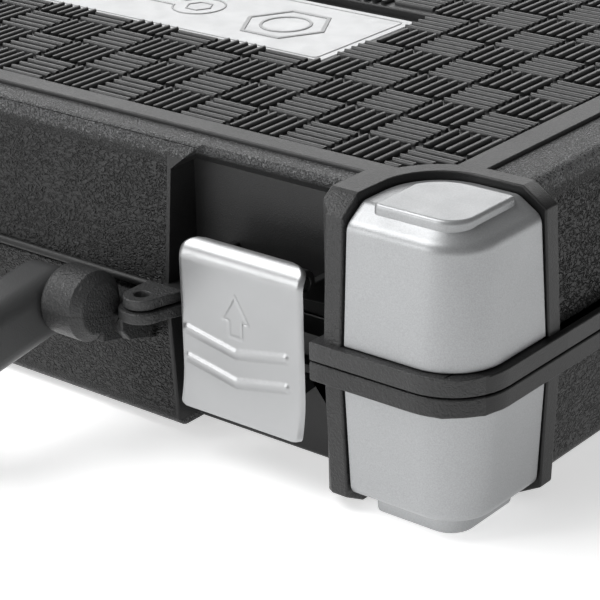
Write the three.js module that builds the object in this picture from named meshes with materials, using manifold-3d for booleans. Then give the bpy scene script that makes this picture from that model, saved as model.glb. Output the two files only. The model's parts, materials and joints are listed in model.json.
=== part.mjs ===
// Socket wrench set in a hard carrying case, lying flat and closed.
// Millimetres, +X to the right, +Y to the back, +Z up, standing on z = 0.
// Shapes are drawn about the case's own centre, then moved so that the origin
// is the middle of the whole object's footprint.

import * as THREE from "three";
import { mergeVertices } from "three/addons/utils/BufferGeometryUtils.js";
import Module from "manifold-3d";

const wasm = await Module();
wasm.setup();

// ---------------------------------------------------------------- driving dimensions

// Heights are measured up (lid) or down (base) from the parting plane.
const LID = {
  pad: 41.2,
  frame: 42.2,
  margin: 41.2,
  chamfer: 37.7,
  cavity: 36.4,
  wallX: 193.6,
  wallY: 135.4,
};
const BASE = {
  pad: 40.3,
  frame: 39.8,
  margin: 39.3,
  chamfer: 36.2,
  cavity: 35,
  wallX: 195.2,
  wallY: 137.2,
};
const PARTING_Z = BASE.pad;
const HALF_GAP = 0.15;
const PANEL_HEIGHT = 40.9;
const BAND_HEIGHT = 5.1;
const OVERSHOOT = 5;

// Half sizes of the ribbed field, its frame, the walls and the corner armour.
const FIELD_X = 173.6;
const FIELD_Y = 120;
const FRAME_X = 181.6;
const FRAME_Y = 126.9;
const WALL_X = 201.6;
const WALL_Y = 139.2;
const WALL_RADIUS = 12;
const FRAME_RADIUS = 4;
const SKIN_X = 203.2;
const SKIN_Y = 147.7;
const SKIN_DRAFT = 1.8;
const SKIN_CHAMFER = 6.7;
const SKIN_RADIUS = 15;
const BAND_PROUD = 1.6;
const BAND_START_X = 157.6;
const CAVITY_X = 190.6;
const CAVITY_Y = 132.4;

// Corner outlines, measured outwards from the corner of the ribbed field.
const GUARD_X0 = -7;
const GUARD_Y0 = -6;
const GUARD_BEND = 16;
const RIM_WIDTH = 5.8;
const GUARD_GAP = 0.5;
const GUARD_SINK = 0.7;
const GUARD_TOP_SINK = 1.6;
const GUARD_THICKNESS = 3;
const REACH = 60;
const RIM_FLARE = 3.2;
const RIM_FLARE_TIP = 2.6;
const RIM_FLARE_ROOT = 5.2;

// The raised pad on each guard, measured the same way.
const PAD_X0 = -2.5;
const PAD_Y0 = -3.5;
const PAD_X1 = 23.5;
const PAD_Y1 = 22.4;
const PAD_RADIUS = 8;
const PAD_INSET = 3.2;

// Badge on the lid.
const BADGE_X = 90.4;
const BADGE_Y0 = -60;
const BADGE_Y1 = -13.2;
const BADGE_RECESS_X = 92;
const BADGE_RECESS_Y1 = -7.5;
const BADGE_FLOOR = 38.4;
const BADGE_THICKNESS = 1.3;

// Latches: two, in recesses in the front wall.
const LATCH_X = 132.6;
const LATCH_HALF_WIDTH = 20;
const LATCH_RECESS_X0 = 103.2;
const LATCH_RECESS_X1 = 157.6;
const LATCH_WALL_Y = -127.2;
const LATCH_COVE_Y = -133.2;
const LATCH_COVE_H = 34.2;
const LATCH_CORNER_H = 33.9;
const RECESS_CORNER_SLOPE = 1.2;
const LATCH_PIVOT_Y = -140;
const LATCH_PIVOT_H = 14.8;
const LATCH_ROLL = 5.6;
const LATCH_SHEET = 1.2;
const LATCH_BOTTOM_H = -25;
const LEVER_HALF_WIDTH = 14.4;
const EAR_THICKNESS = 2.6;
const PIN_RADIUS = 1.5;
const PIN_BORE = 1.75;

// Carrying handle and its bosses.
const BOSS_X0 = 81.6;
const BOSS_X1 = 94.5;
const BOSS_RADIUS = 9.5;
const BOSS_CHAMFER = 2.6;
const NACELLE_X1 = 97.5;
const NACELLE_REACH = 12;
const HANDLE_Y = -155.2;
const HANDLE_H = -0.3;
const HANDLE_HALF_WIDTH = 81;
const HANDLE_ARM = 16;
const HANDLE_REACH = 47;
const HANDLE_BAR = 19;
const HANDLE_TOP = 7;
const HANDLE_UNDER = 11;
const HANDLE_STUB = 4;
const HANDLE_DROOP = 9;
const HANDLE_BEVEL = 3;
const HANDLE_OUTER_BEND = 16;
const HANDLE_INNER_BEND = 6;

// Padlock lugs beside the bosses.
const LUG_X = 102;
const LUG_Y = -147.8;
const LUG_RADIUS = 5;
const LUG_STEP = 1.3;
const LUG_HOLE = 2;
const LUG_THICKNESS = 3.1;

// Hinge at the back.
const HINGE_Y = 150.6;
const HINGE_RADIUS = 4.5;
const HINGE_X = 110;
const KNUCKLE = 14;
const KNUCKLE_GAP = 0.4;
const HINGE_KNUCKLES = 3;
const HINGE_PIN_RADIUS = 1.6;
const HINGE_BORE = 1.85;
const HINGE_WEB = 4.1;

// Inner tray and liner.
const TRAY_X = 188;
const TRAY_Y0 = -123.5;
const TRAY_Y1 = 130;
const TRAY_TOP = -4;
const TRAY_BOTTOM = -34.6;
const TRAY_SKIN = 1.8;
const POCKET_PLAY = 0.6;
const LINER_THICKNESS = 3;

// Half sizes of the two drive squares, and the room a mating square needs.
const HALF_INCH = 6.35;
const QUARTER_INCH = 3.2;
const SQUARE_PLAY = 0.2;

// ---------------------------------------------------------------- materials

function makeMaterial(color, roughness, metalness) {
  return new THREE.MeshStandardMaterial({ color, roughness, metalness });
}

const blackShell = makeMaterial(0x2b2c2e, 0.55, 0);
const blackSmooth = makeMaterial(0x1f2022, 0.45, 0);
const silverPaint = makeMaterial(0xb4b7bb, 0.42, 0.3);
const satinMetal = makeMaterial(0xd3d5d8, 0.32, 0.85);
const badgeMetal = makeMaterial(0xd9dbde, 0.36, 0.7);
const steel = makeMaterial(0x8e9196, 0.35, 1);
const chrome = makeMaterial(0xc4c8cc, 0.18, 1);
const gripPlastic = makeMaterial(0x24262a, 0.6, 0);
const trayPlastic = makeMaterial(0x3a3c40, 0.7, 0);
const foam = makeMaterial(0x26272a, 0.95, 0);

// ---------------------------------------------------------------- solids

function solid(geometry) {
  const bare = geometry.clone();
  bare.deleteAttribute("normal");
  bare.deleteAttribute("uv");
  const merged = mergeVertices(bare, 1e-4);
  return new wasm.Manifold(new wasm.Mesh({
    numProp: 3,
    vertProperties: new Float32Array(merged.attributes.position.array),
    triVerts: new Uint32Array(merged.index.array),
  }));
}

function join(solids) {
  return solids.reduce((sum, next) => sum.add(next));
}

function cut(body, cutters) {
  return cutters.reduce((rest, next) => rest.subtract(next), body);
}

function box(x0, x1, y0, y1, z0, z1) {
  const geometry = new THREE.BoxGeometry(x1 - x0, y1 - y0, z1 - z0);
  geometry.translate((x0 + x1) / 2, (y0 + y1) / 2, (z0 + z1) / 2);
  return solid(geometry);
}

// A rectangle with a radius of its own at each corner, from (x0, y0) round to (x0, y1).
function roundedOutline(x0, y0, x1, y1, radii) {
  const [r00, r10, r11, r01] = radii;
  const shape = new THREE.Shape();
  shape.moveTo(x0 + r00, y0);
  shape.lineTo(x1 - r10, y0);
  if (r10) shape.absarc(x1 - r10, y0 + r10, r10, -Math.PI / 2, 0, false);
  shape.lineTo(x1, y1 - r11);
  if (r11) shape.absarc(x1 - r11, y1 - r11, r11, 0, Math.PI / 2, false);
  shape.lineTo(x0 + r01, y1);
  if (r01) shape.absarc(x0 + r01, y1 - r01, r01, Math.PI / 2, Math.PI, false);
  shape.lineTo(x0, y0 + r00);
  if (r00) shape.absarc(x0 + r00, y0 + r00, r00, Math.PI, Math.PI * 1.5, false);
  return shape;
}

function outline(halfX, halfY, radius) {
  return roundedOutline(-halfX, -halfY, halfX, halfY, [radius, radius, radius, radius]);
}

function extruded(shape, z0, z1, curveSegments = 5) {
  const depth = Math.abs(z1 - z0);
  const geometry = new THREE.ExtrudeGeometry(shape, { depth, bevelEnabled: false, curveSegments });
  geometry.translate(0, 0, Math.min(z0, z1));
  return geometry;
}

function prism(shape, z0, z1, curveSegments = 5) {
  return solid(extruded(shape, z0, z1, curveSegments));
}

// A prism whose section is scaled evenly from full size at z0 to (scaleX, scaleY) at z1.
function drafted(shape, z0, z1, scaleX, scaleY) {
  const geometry = extruded(shape, z0, z1);
  const position = geometry.attributes.position;
  for (let i = 0; i < position.count; i += 1) {
    const part = (position.getZ(i) - z0) / (z1 - z0);
    position.setX(i, position.getX(i) * (1 + part * (scaleX - 1)));
    position.setY(i, position.getY(i) * (1 + part * (scaleY - 1)));
  }
  return solid(geometry);
}

// A section drawn in Y and Z and run along X.
function alongX(shape, x0, x1, curveSegments = 5) {
  const depth = x1 - x0;
  const geometry = new THREE.ExtrudeGeometry(shape, { depth, bevelEnabled: false, curveSegments });
  const basis = new THREE.Matrix4().makeBasis(
    new THREE.Vector3(0, 1, 0),
    new THREE.Vector3(0, 0, 1),
    new THREE.Vector3(1, 0, 0),
  );
  geometry.applyMatrix4(basis);
  geometry.translate(x0, 0, 0);
  return solid(geometry);
}

function drumX(x0, x1, y, z, radius, sides = 16) {
  const geometry = new THREE.CylinderGeometry(radius, radius, x1 - x0, sides);
  geometry.rotateZ(Math.PI / 2);
  geometry.translate((x0 + x1) / 2, y, z);
  return solid(geometry);
}

function drumZ(x, y, z0, z1, radius, sides = 16, topRadius = radius) {
  const geometry = new THREE.CylinderGeometry(topRadius, radius, z1 - z0, sides);
  geometry.rotateX(Math.PI / 2);
  geometry.translate(x, y, (z0 + z1) / 2);
  return solid(geometry);
}

// A body turned about a line along X: points are (distance along X, radius).
function turnedX(points, x, y, z, sides = 16) {
  const profile = points.map(([along, radius]) => new THREE.Vector2(radius, along));
  const geometry = new THREE.LatheGeometry(profile, sides);
  geometry.rotateZ(-Math.PI / 2);
  geometry.translate(x, y, z);
  return solid(geometry);
}

const model = new THREE.Group();

function addPart(name, body, material) {
  const cutMesh = body.getMesh();
  const geometry = new THREE.BufferGeometry();
  geometry.setAttribute("position", new THREE.BufferAttribute(new Float32Array(cutMesh.vertProperties), 3));
  geometry.setIndex(new THREE.BufferAttribute(new Uint32Array(cutMesh.triVerts), 1));
  geometry.computeVertexNormals();
  const mesh = new THREE.Mesh(geometry, material);
  mesh.name = name;
  model.add(mesh);
}

const BOTH = [-1, 1];
const sideName = (side) => (side < 0 ? "left" : "right");
const endName = (end) => (end < 0 ? "front" : "back");

// Height h above (half = 1) or below (half = -1) the parting plane, as a z value.
const level = (half, h) => PARTING_Z + half * h;

// ---------------------------------------------------------------- case shells

// The outer skin that the corner armour follows: a drafted wall and a chamfer.
function skin(half, inset, topInset) {
  const halfX = SKIN_X - inset;
  const halfY = SKIN_Y - inset;
  const upperX = halfX - SKIN_DRAFT;
  const upperY = halfY - SKIN_DRAFT;
  const heights = half > 0 ? LID : BASE;
  const chamfer = heights.chamfer - topInset;
  const wall = drafted(
    outline(halfX, halfY, SKIN_RADIUS - inset),
    level(half, HALF_GAP),
    level(half, chamfer),
    upperX / halfX,
    upperY / halfY,
  );
  const crown = drafted(
    outline(upperX, upperY, SKIN_RADIUS - inset),
    level(half, chamfer),
    level(half, heights.frame - topInset),
    (upperX - SKIN_CHAMFER) / upperX,
    (upperY - SKIN_CHAMFER) / upperY,
  );
  return wall.add(crown);
}

// The plan outline of one corner, grown by the given amount on its inner sides.
function cornerColumn(side, end, grow, h0, h1, half) {
  const cornerX = side * FIELD_X;
  const cornerY = end * FIELD_Y;
  const nearX = cornerX + side * (GUARD_X0 - grow);
  const nearY = cornerY + end * (GUARD_Y0 - grow);
  const farX = cornerX + side * REACH;
  const farY = cornerY + end * REACH;
  const radii = [0, 0, 0, 0];
  const nearCorner = side > 0 ? (end > 0 ? 0 : 3) : (end > 0 ? 1 : 2);
  radii[nearCorner] = GUARD_BEND + grow;
  const shape = roundedOutline(
    Math.min(nearX, farX),
    Math.min(nearY, farY),
    Math.max(nearX, farX),
    Math.max(nearY, farY),
    radii,
  );
  return prism(shape, level(half, h0), level(half, h1), 8);
}

// The slanted flank of a rim where it meets the latch recess or the wall beside it.
function rimFlare(side, end, half) {
  const nearX = side * (FIELD_X + GUARD_X0 - RIM_WIDTH);
  const shape = new THREE.Shape();
  shape.moveTo(nearX + side, end * (FIELD_Y + 2));
  shape.lineTo(nearX - side * RIM_FLARE, end * (FIELD_Y + 2));
  shape.lineTo(nearX - side * RIM_FLARE, end * (SKIN_Y - RIM_FLARE_ROOT));
  shape.lineTo(nearX, end * (SKIN_Y - RIM_FLARE_TIP));
  shape.lineTo(nearX, end * (SKIN_Y + 8));
  shape.lineTo(nearX + side, end * (SKIN_Y + 8));
  return prism(shape, level(half, 0), level(half, LID.frame + 1));
}

function shellHull(half) {
  const heights = half > 0 ? LID : BASE;
  const bottom = level(half, HALF_GAP);
  const walls = drafted(
    outline(WALL_X, WALL_Y, WALL_RADIUS),
    bottom,
    level(half, heights.margin),
    heights.wallX / WALL_X,
    heights.wallY / WALL_Y,
  );
  const frameRoot = level(half, heights.margin - 1);
  const frame = prism(outline(FRAME_X, FRAME_Y, FRAME_RADIUS), frameRoot, level(half, heights.frame));
  const band = prism(
    outline(SKIN_X + BAND_PROUD, SKIN_Y + BAND_PROUD, SKIN_RADIUS + BAND_PROUD),
    bottom,
    level(half, BAND_HEIGHT),
  );
  const middle = box(-BAND_START_X, BAND_START_X, -SKIN_X, SKIN_X, -1, 2 * PARTING_Z);
  let hull = walls.add(frame).add(band.subtract(middle));
  if (half > 0) {
    const fieldTop = level(1, LID.frame + OVERSHOOT);
    hull = hull.subtract(prism(outline(FIELD_X, FIELD_Y, 1), level(1, PANEL_HEIGHT), fieldTop, 2));
  }
  const armour = skin(half, 0, 0);
  for (const side of BOTH) {
    for (const end of BOTH) {
      const column = cornerColumn(side, end, RIM_WIDTH, 0, LID.frame + 1, half);
      hull = hull.add(armour.intersect(column.add(rimFlare(side, end, half))));
    }
  }
  return hull;
}

function guardPockets(half) {
  const depth = GUARD_THICKNESS + HALF_GAP * 2;
  const seat = skin(half, GUARD_SINK + depth, GUARD_TOP_SINK + depth);
  const pockets = [];
  for (const side of BOTH) {
    for (const end of BOTH) {
      const column = cornerColumn(side, end, GUARD_GAP, BAND_HEIGHT, LID.frame + 3, half);
      pockets.push(column.subtract(seat));
    }
  }
  return pockets;
}

function latchRecess(side, half) {
  const far = -WALL_Y - 40;
  const profile = new THREE.Shape();
  if (half > 0) {
    profile.moveTo(far, level(half, -2));
    profile.lineTo(LATCH_WALL_Y, level(half, -2));
    profile.lineTo(LATCH_WALL_Y, level(half, LATCH_COVE_H));
    profile.lineTo(LATCH_COVE_Y, level(half, LID.margin - 2));
    profile.lineTo(LATCH_COVE_Y, level(half, LID.frame + 4));
    profile.lineTo(far, level(half, LID.frame + 4));
  } else {
    profile.moveTo(far, level(half, -2));
    profile.lineTo(far, level(half, BASE.frame + 4));
    profile.lineTo(LATCH_WALL_Y, level(half, BASE.frame + 4));
    profile.lineTo(LATCH_WALL_Y, level(half, -2));
  }
  const x0 = side > 0 ? LATCH_RECESS_X0 : -LATCH_RECESS_X1;
  const room = alongX(profile, x0, x0 + LATCH_RECESS_X1 - LATCH_RECESS_X0);
  return half > 0 ? room.subtract(recessCorner(side)) : room;
}

// The slanted upper corner of a latch recess, on the handle's side.
function recessCorner(side) {
  const edge = LATCH_RECESS_X0 - 1;
  const low = level(1, LATCH_CORNER_H) - 1;
  const high = level(1, LID.frame + OVERSHOOT);
  const wedge = new THREE.Shape();
  wedge.moveTo(side * edge, low);
  wedge.lineTo(side * (edge + (high - low) * RECESS_CORNER_SLOPE), high);
  wedge.lineTo(side * edge, high);
  const geometry = extruded(wedge, WALL_Y - 30, WALL_Y + 50);
  geometry.rotateX(Math.PI / 2);
  return solid(geometry);
}

function shellCavity(half) {
  const ceiling = half > 0 ? LID.cavity : BASE.cavity;
  let cavity = prism(outline(CAVITY_X, CAVITY_Y, WALL_RADIUS), level(half, -1), level(half, ceiling));
  for (const side of BOTH) {
    const x0 = side > 0 ? LATCH_RECESS_X0 - 3 : -LATCH_RECESS_X1 - 3;
    const width = LATCH_RECESS_X1 - LATCH_RECESS_X0 + 6;
    cavity = cavity.subtract(box(x0, x0 + width, -WALL_Y, LATCH_WALL_Y + 3, -1, 2 * PARTING_Z));
  }
  return cavity;
}

// One flat padlock lug with its round nose and hole, standing out of the front wall.
function padlockLug(side, half) {
  const z0 = level(half, HALF_GAP);
  const z1 = level(half, LUG_THICKNESS);
  const shape = new THREE.Shape();
  const root = -WALL_Y + 5;
  const radius = half > 0 ? LUG_RADIUS : LUG_RADIUS + LUG_STEP;
  const foot = radius * 1.6;
  const outward = side > 0 ? radius + foot / 2 : radius;
  const inward = side > 0 ? radius : radius + foot / 2;
  shape.moveTo(side * LUG_X - inward, root);
  shape.lineTo(side * LUG_X - radius, LUG_Y);
  shape.absarc(side * LUG_X, LUG_Y, radius, Math.PI, Math.PI * 2, false);
  shape.lineTo(side * LUG_X + outward, root);
  return prism(shape, z0, z1, 10);
}

function lugHole(side) {
  return drumZ(side * LUG_X, LUG_Y, PARTING_Z - 20, PARTING_Z + 20, LUG_HOLE, 12);
}

// Every knuckle of one hinge: odd ones belong to the lid, even ones to the base.
function hingeKnuckles(side, half) {
  const knuckles = [];
  for (let i = 0; i < HINGE_KNUCKLES; i += 1) {
    const owner = i % 2 === 0 ? -1 : 1;
    if (owner === half) {
      const x0 = side * HINGE_X + (i - HINGE_KNUCKLES / 2) * KNUCKLE + KNUCKLE_GAP / 2;
      const x1 = x0 + KNUCKLE - KNUCKLE_GAP;
      const barrel = drumX(x0, x1, HINGE_Y, PARTING_Z, HINGE_RADIUS);
      const z0 = Math.min(level(half, HALF_GAP), level(half, HINGE_WEB));
      const z1 = Math.max(level(half, HALF_GAP), level(half, HINGE_WEB));
      const web = box(x0, x1, WALL_Y - 3, HINGE_Y, z0, z1);
      const bore = drumX(x0 - 1, x1 + 1, HINGE_Y, PARTING_Z, HINGE_BORE, 12);
      knuckles.push(barrel.add(web).subtract(bore));
    }
  }
  return knuckles;
}

// Ears on the lid that carry one latch's pin, reached from below by a sloping web.
function latchEars(side) {
  const ears = [];
  const y = LATCH_PIVOT_Y;
  const z = level(1, LATCH_PIVOT_H);
  const web = new THREE.Shape();
  web.moveTo(y + 3.4, z - 0.6);
  web.lineTo(y - 1.2, z - 3.4);
  web.lineTo(LATCH_WALL_Y + 1, z - 11);
  web.lineTo(LATCH_WALL_Y + 1, z - 0.6);
  for (const edge of BOTH) {
    const centre = side * LATCH_X + edge * (LEVER_HALF_WIDTH + 0.4 + EAR_THICKNESS / 2);
    const x0 = centre - EAR_THICKNESS / 2;
    const x1 = centre + EAR_THICKNESS / 2;
    const ear = drumX(x0, x1, y, z, 3.7).add(alongX(web, x0, x1));
    ears.push(ear.subtract(drumX(x0 - 1, x1 + 1, y, z, PIN_BORE, 12)));
  }
  return ears;
}

// Boss that holds one end of the handle, with the nacelle that ties it to the base.
function handleBoss(side) {
  const near = Math.min(side * BOSS_X0, side * BOSS_X1);
  const far = Math.max(side * BOSS_X0, side * BOSS_X1);
  const z = PARTING_Z + HANDLE_H;
  const width = BOSS_X1 - BOSS_X0;
  const inner = [[0, BOSS_RADIUS - 0.6], [0.6, BOSS_RADIUS]];
  const outer = [[width - BOSS_CHAMFER, BOSS_RADIUS], [width, BOSS_RADIUS - BOSS_CHAMFER]];
  const rings = [[0, 0], ...inner, ...outer, [width, 0]];
  const profile = side > 0 ? rings : rings.map(([along, radius]) => [width - along, radius]).reverse();
  const barrel = turnedX(profile, near, HANDLE_Y, z, 24);
  const web = new THREE.Shape();
  web.moveTo(HANDLE_Y, z - BOSS_RADIUS);
  web.lineTo(HANDLE_Y, PARTING_Z - 1);
  web.lineTo(-WALL_Y + 2, PARTING_Z - 1);
  web.lineTo(-WALL_Y + 2, PARTING_Z - 13.5);
  const rootNear = Math.min(side * BOSS_X0, side * NACELLE_X1);
  const rootFar = Math.max(side * BOSS_X0, side * NACELLE_X1);
  const nacelle = new THREE.Shape();
  nacelle.moveTo(-WALL_Y - NACELLE_REACH, PARTING_Z - LUG_THICKNESS);
  nacelle.lineTo(-WALL_Y + 2, PARTING_Z - LUG_THICKNESS);
  nacelle.lineTo(-WALL_Y + 2, PARTING_Z - 14);
  nacelle.lineTo(-WALL_Y - NACELLE_REACH + 3, PARTING_Z - 11);
  nacelle.lineTo(-WALL_Y - NACELLE_REACH, PARTING_Z - 7.5);
  const socket = side * (BOSS_X0 + 5);
  const bore = drumX(socket - 6, socket + 6, HANDLE_Y, z, HANDLE_STUB + 0.3, 12);
  return join([barrel, alongX(web, near, far), alongX(nacelle, rootNear, rootFar)]).subtract(bore);
}

function keeperLip(side) {
  const profile = new THREE.Shape();
  profile.moveTo(LATCH_WALL_Y + 1, level(1, -5));
  profile.lineTo(LATCH_WALL_Y + 1, level(1, -11.5));
  profile.lineTo(LATCH_WALL_Y - 5.6, level(1, -11.5));
  profile.lineTo(LATCH_WALL_Y - 5.6, level(1, -8.5));
  return alongX(profile, side * LATCH_X - 12, side * LATCH_X + 12);
}

function lidShell() {
  const floor = level(1, BADGE_FLOOR);
  const above = level(1, LID.frame + OVERSHOOT);
  let body = cut(shellHull(1), [
    ...guardPockets(1),
    ...BOTH.map((side) => latchRecess(side, 1)),
    shellCavity(1),
    box(-BADGE_RECESS_X, BADGE_RECESS_X, BADGE_Y0 - 0.4, BADGE_RECESS_Y1, floor, above),
  ]);
  for (const side of BOTH) {
    body = join([body, padlockLug(side, 1), ...hingeKnuckles(side, 1), ...latchEars(side)]);
  }
  return cut(body, BOTH.map(lugHole));
}

function baseShell() {
  let body = cut(shellHull(-1), [
    ...guardPockets(-1),
    ...BOTH.map((side) => latchRecess(side, -1)),
    shellCavity(-1),
  ]);
  for (const side of BOTH) {
    body = join([body, padlockLug(side, -1), handleBoss(side), ...hingeKnuckles(side, -1), keeperLip(side)]);
  }
  return cut(body, BOTH.map(lugHole));
}

// ---------------------------------------------------------------- corner guards

// A raised pad on the guard's flat: the case stands on the four at the bottom.
function guardPad(side, end, half) {
  const cornerX = side * FIELD_X;
  const cornerY = end * FIELD_Y;
  const padX = cornerX + side * PAD_X1;
  const padY = cornerY + end * PAD_Y1;
  const nearX = cornerX + side * PAD_X0;
  const nearY = cornerY + end * PAD_Y0;
  const heights = half > 0 ? LID : BASE;
  const radii = [0, 0, 0, 0];
  const outerCorner = side > 0 ? (end > 0 ? 2 : 1) : (end > 0 ? 3 : 0);
  radii[outerCorner] = PAD_RADIUS;
  const shape = roundedOutline(
    Math.min(nearX, padX),
    Math.min(nearY, padY),
    Math.max(nearX, padX),
    Math.max(nearY, padY),
    radii,
  );
  const slab = prism(shape, level(half, heights.chamfer - 3), level(half, heights.pad), 4);
  return slab.intersect(cornerColumn(side, end, -PAD_INSET, 0, LID.frame + 1, half));
}

function cornerGuard(side, end, half) {
  const top = GUARD_TOP_SINK;
  const outer = skin(half, GUARD_SINK, top);
  const inner = skin(half, GUARD_SINK + GUARD_THICKNESS, top + GUARD_THICKNESS);
  const column = cornerColumn(side, end, 0, BAND_HEIGHT + 0.3, LID.frame + 1, half);
  return outer.intersect(column).add(guardPad(side, end, half)).subtract(inner);
}

// ---------------------------------------------------------------- latches and handle

// The rolled and flared sheet-metal face of a latch.
function latchPlate(side) {
  const y = LATCH_PIVOT_Y;
  const z = level(1, LATCH_PIVOT_H);
  const face = y - LATCH_ROLL;
  const inner = face + LATCH_SHEET;
  const foot = level(1, LATCH_BOTTOM_H);
  const rollEnd = THREE.MathUtils.degToRad(100);
  const shape = new THREE.Shape();
  shape.moveTo(y + LATCH_ROLL * Math.cos(rollEnd), z + LATCH_ROLL * Math.sin(rollEnd));
  shape.absarc(y, z, LATCH_ROLL, rollEnd, Math.PI, false);
  shape.lineTo(face, foot + 6);
  shape.lineTo(face - 0.6, foot + 2.4);
  shape.lineTo(face - 1.8, foot);
  shape.lineTo(inner - 1.7, foot - 0.4);
  shape.lineTo(inner - 0.5, foot + 2.2);
  shape.lineTo(inner, foot + 6);
  shape.lineTo(inner, z);
  shape.absarc(y, z, LATCH_ROLL - LATCH_SHEET, Math.PI, rollEnd, true);
  return alongX(shape, side * LATCH_X - LATCH_HALF_WIDTH, side * LATCH_X + LATCH_HALF_WIDTH, 8);
}

// The moulded lever behind the plate: it turns on the pin and ends in a hook.
function latchLever(side) {
  const y = LATCH_PIVOT_Y;
  const z = level(1, LATCH_PIVOT_H);
  const front = y - LATCH_ROLL + LATCH_SHEET + 0.3;
  const shape = new THREE.Shape();
  shape.moveTo(front, z);
  shape.lineTo(front, level(1, -17));
  shape.lineTo(y + 6.2, level(1, -16));
  shape.lineTo(y + 6.2, level(1, -12.6));
  shape.lineTo(y + 1, level(1, -12.6));
  shape.lineTo(y + 1, level(1, 4));
  shape.lineTo(y + 3.8, z);
  const x0 = side * LATCH_X - LEVER_HALF_WIDTH;
  const x1 = side * LATCH_X + LEVER_HALF_WIDTH;
  const arm = alongX(shape, x0, x1).add(drumX(x0, x1, y, z, 3.9));
  return arm.subtract(drumX(x0 - 1, x1 + 1, y, z, PIN_BORE, 12));
}

function latchPin(side) {
  const reach = LEVER_HALF_WIDTH + EAR_THICKNESS + 0.3;
  const x = side * LATCH_X;
  return drumX(x - reach, x + reach, LATCH_PIVOT_Y, level(1, LATCH_PIVOT_H), PIN_RADIUS, 12);
}

function carryHandle() {
  const rear = HANDLE_Y + 8;
  const front = HANDLE_Y - HANDLE_REACH;
  const inner = HANDLE_HALF_WIDTH - HANDLE_ARM;
  const gripBack = front + HANDLE_BAR;
  const bevel = HANDLE_BEVEL;
  const outerBend = HANDLE_OUTER_BEND;
  const innerBend = HANDLE_INNER_BEND;
  const bendX = HANDLE_HALF_WIDTH - outerBend;
  const shape = new THREE.Shape();
  shape.moveTo(-HANDLE_HALF_WIDTH + bevel, rear - bevel);
  shape.lineTo(-HANDLE_HALF_WIDTH + bevel, front + outerBend);
  shape.absarc(-bendX, front + outerBend, outerBend - bevel, Math.PI, Math.PI * 1.5, false);
  shape.absarc(bendX, front + outerBend, outerBend - bevel, Math.PI * 1.5, Math.PI * 2, false);
  shape.lineTo(HANDLE_HALF_WIDTH - bevel, rear - bevel);
  shape.lineTo(inner + bevel, rear - bevel);
  shape.lineTo(inner + bevel, gripBack + innerBend);
  shape.absarc(inner - innerBend, gripBack + innerBend, innerBend + bevel, 0, -Math.PI / 2, true);
  shape.absarc(-inner + innerBend, gripBack + innerBend, innerBend + bevel, -Math.PI / 2, -Math.PI, true);
  shape.lineTo(-inner - bevel, rear - bevel);
  const geometry = new THREE.ExtrudeGeometry(shape, {
    depth: HANDLE_TOP + HANDLE_UNDER - 2 * bevel,
    bevelEnabled: true,
    bevelThickness: bevel,
    bevelSize: bevel,
    bevelSegments: 3,
    curveSegments: 4,
  });
  geometry.translate(0, 0, PARTING_Z + HANDLE_H - HANDLE_UNDER + bevel);
  let body = solid(geometry);
  for (const side of BOTH) {
    const middle = side * (HANDLE_HALF_WIDTH + 1);
    body = body.add(drumX(middle - 6, middle + 6, HANDLE_Y, PARTING_Z + HANDLE_H, HANDLE_STUB, 12));
  }
  const pivot = [0, HANDLE_Y, PARTING_Z + HANDLE_H];
  return body.translate(pivot.map((value) => -value)).rotate([HANDLE_DROOP, 0, 0]).translate(pivot);
}

function hingePin(side) {
  const half = (HINGE_KNUCKLES * KNUCKLE) / 2;
  return drumX(side * HINGE_X - half, side * HINGE_X + half, HINGE_Y, PARTING_Z, HINGE_PIN_RADIUS, 12);
}

// ---------------------------------------------------------------- tools

const pockets = [];
const TOOL_Z = level(1, TRAY_TOP);

// Room in the tray for a lying tool, and for a standing one.
function trough(x0, x1, y, halfWidth, depth) {
  const make = (grow) => {
    const g = grow + POCKET_PLAY;
    return box(x0 - g, x1 + g, y - halfWidth - g, y + halfWidth + g, TOOL_Z - depth - g, TOOL_Z + 5);
  };
  pockets.push(make);
}

function well(x, y, radius, depth) {
  const make = (grow) => {
    const g = grow + POCKET_PLAY;
    return drumZ(x, y, TOOL_Z - depth - g, TOOL_Z + 5, radius + g + 0.3, 12);
  };
  pockets.push(make);
}

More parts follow.
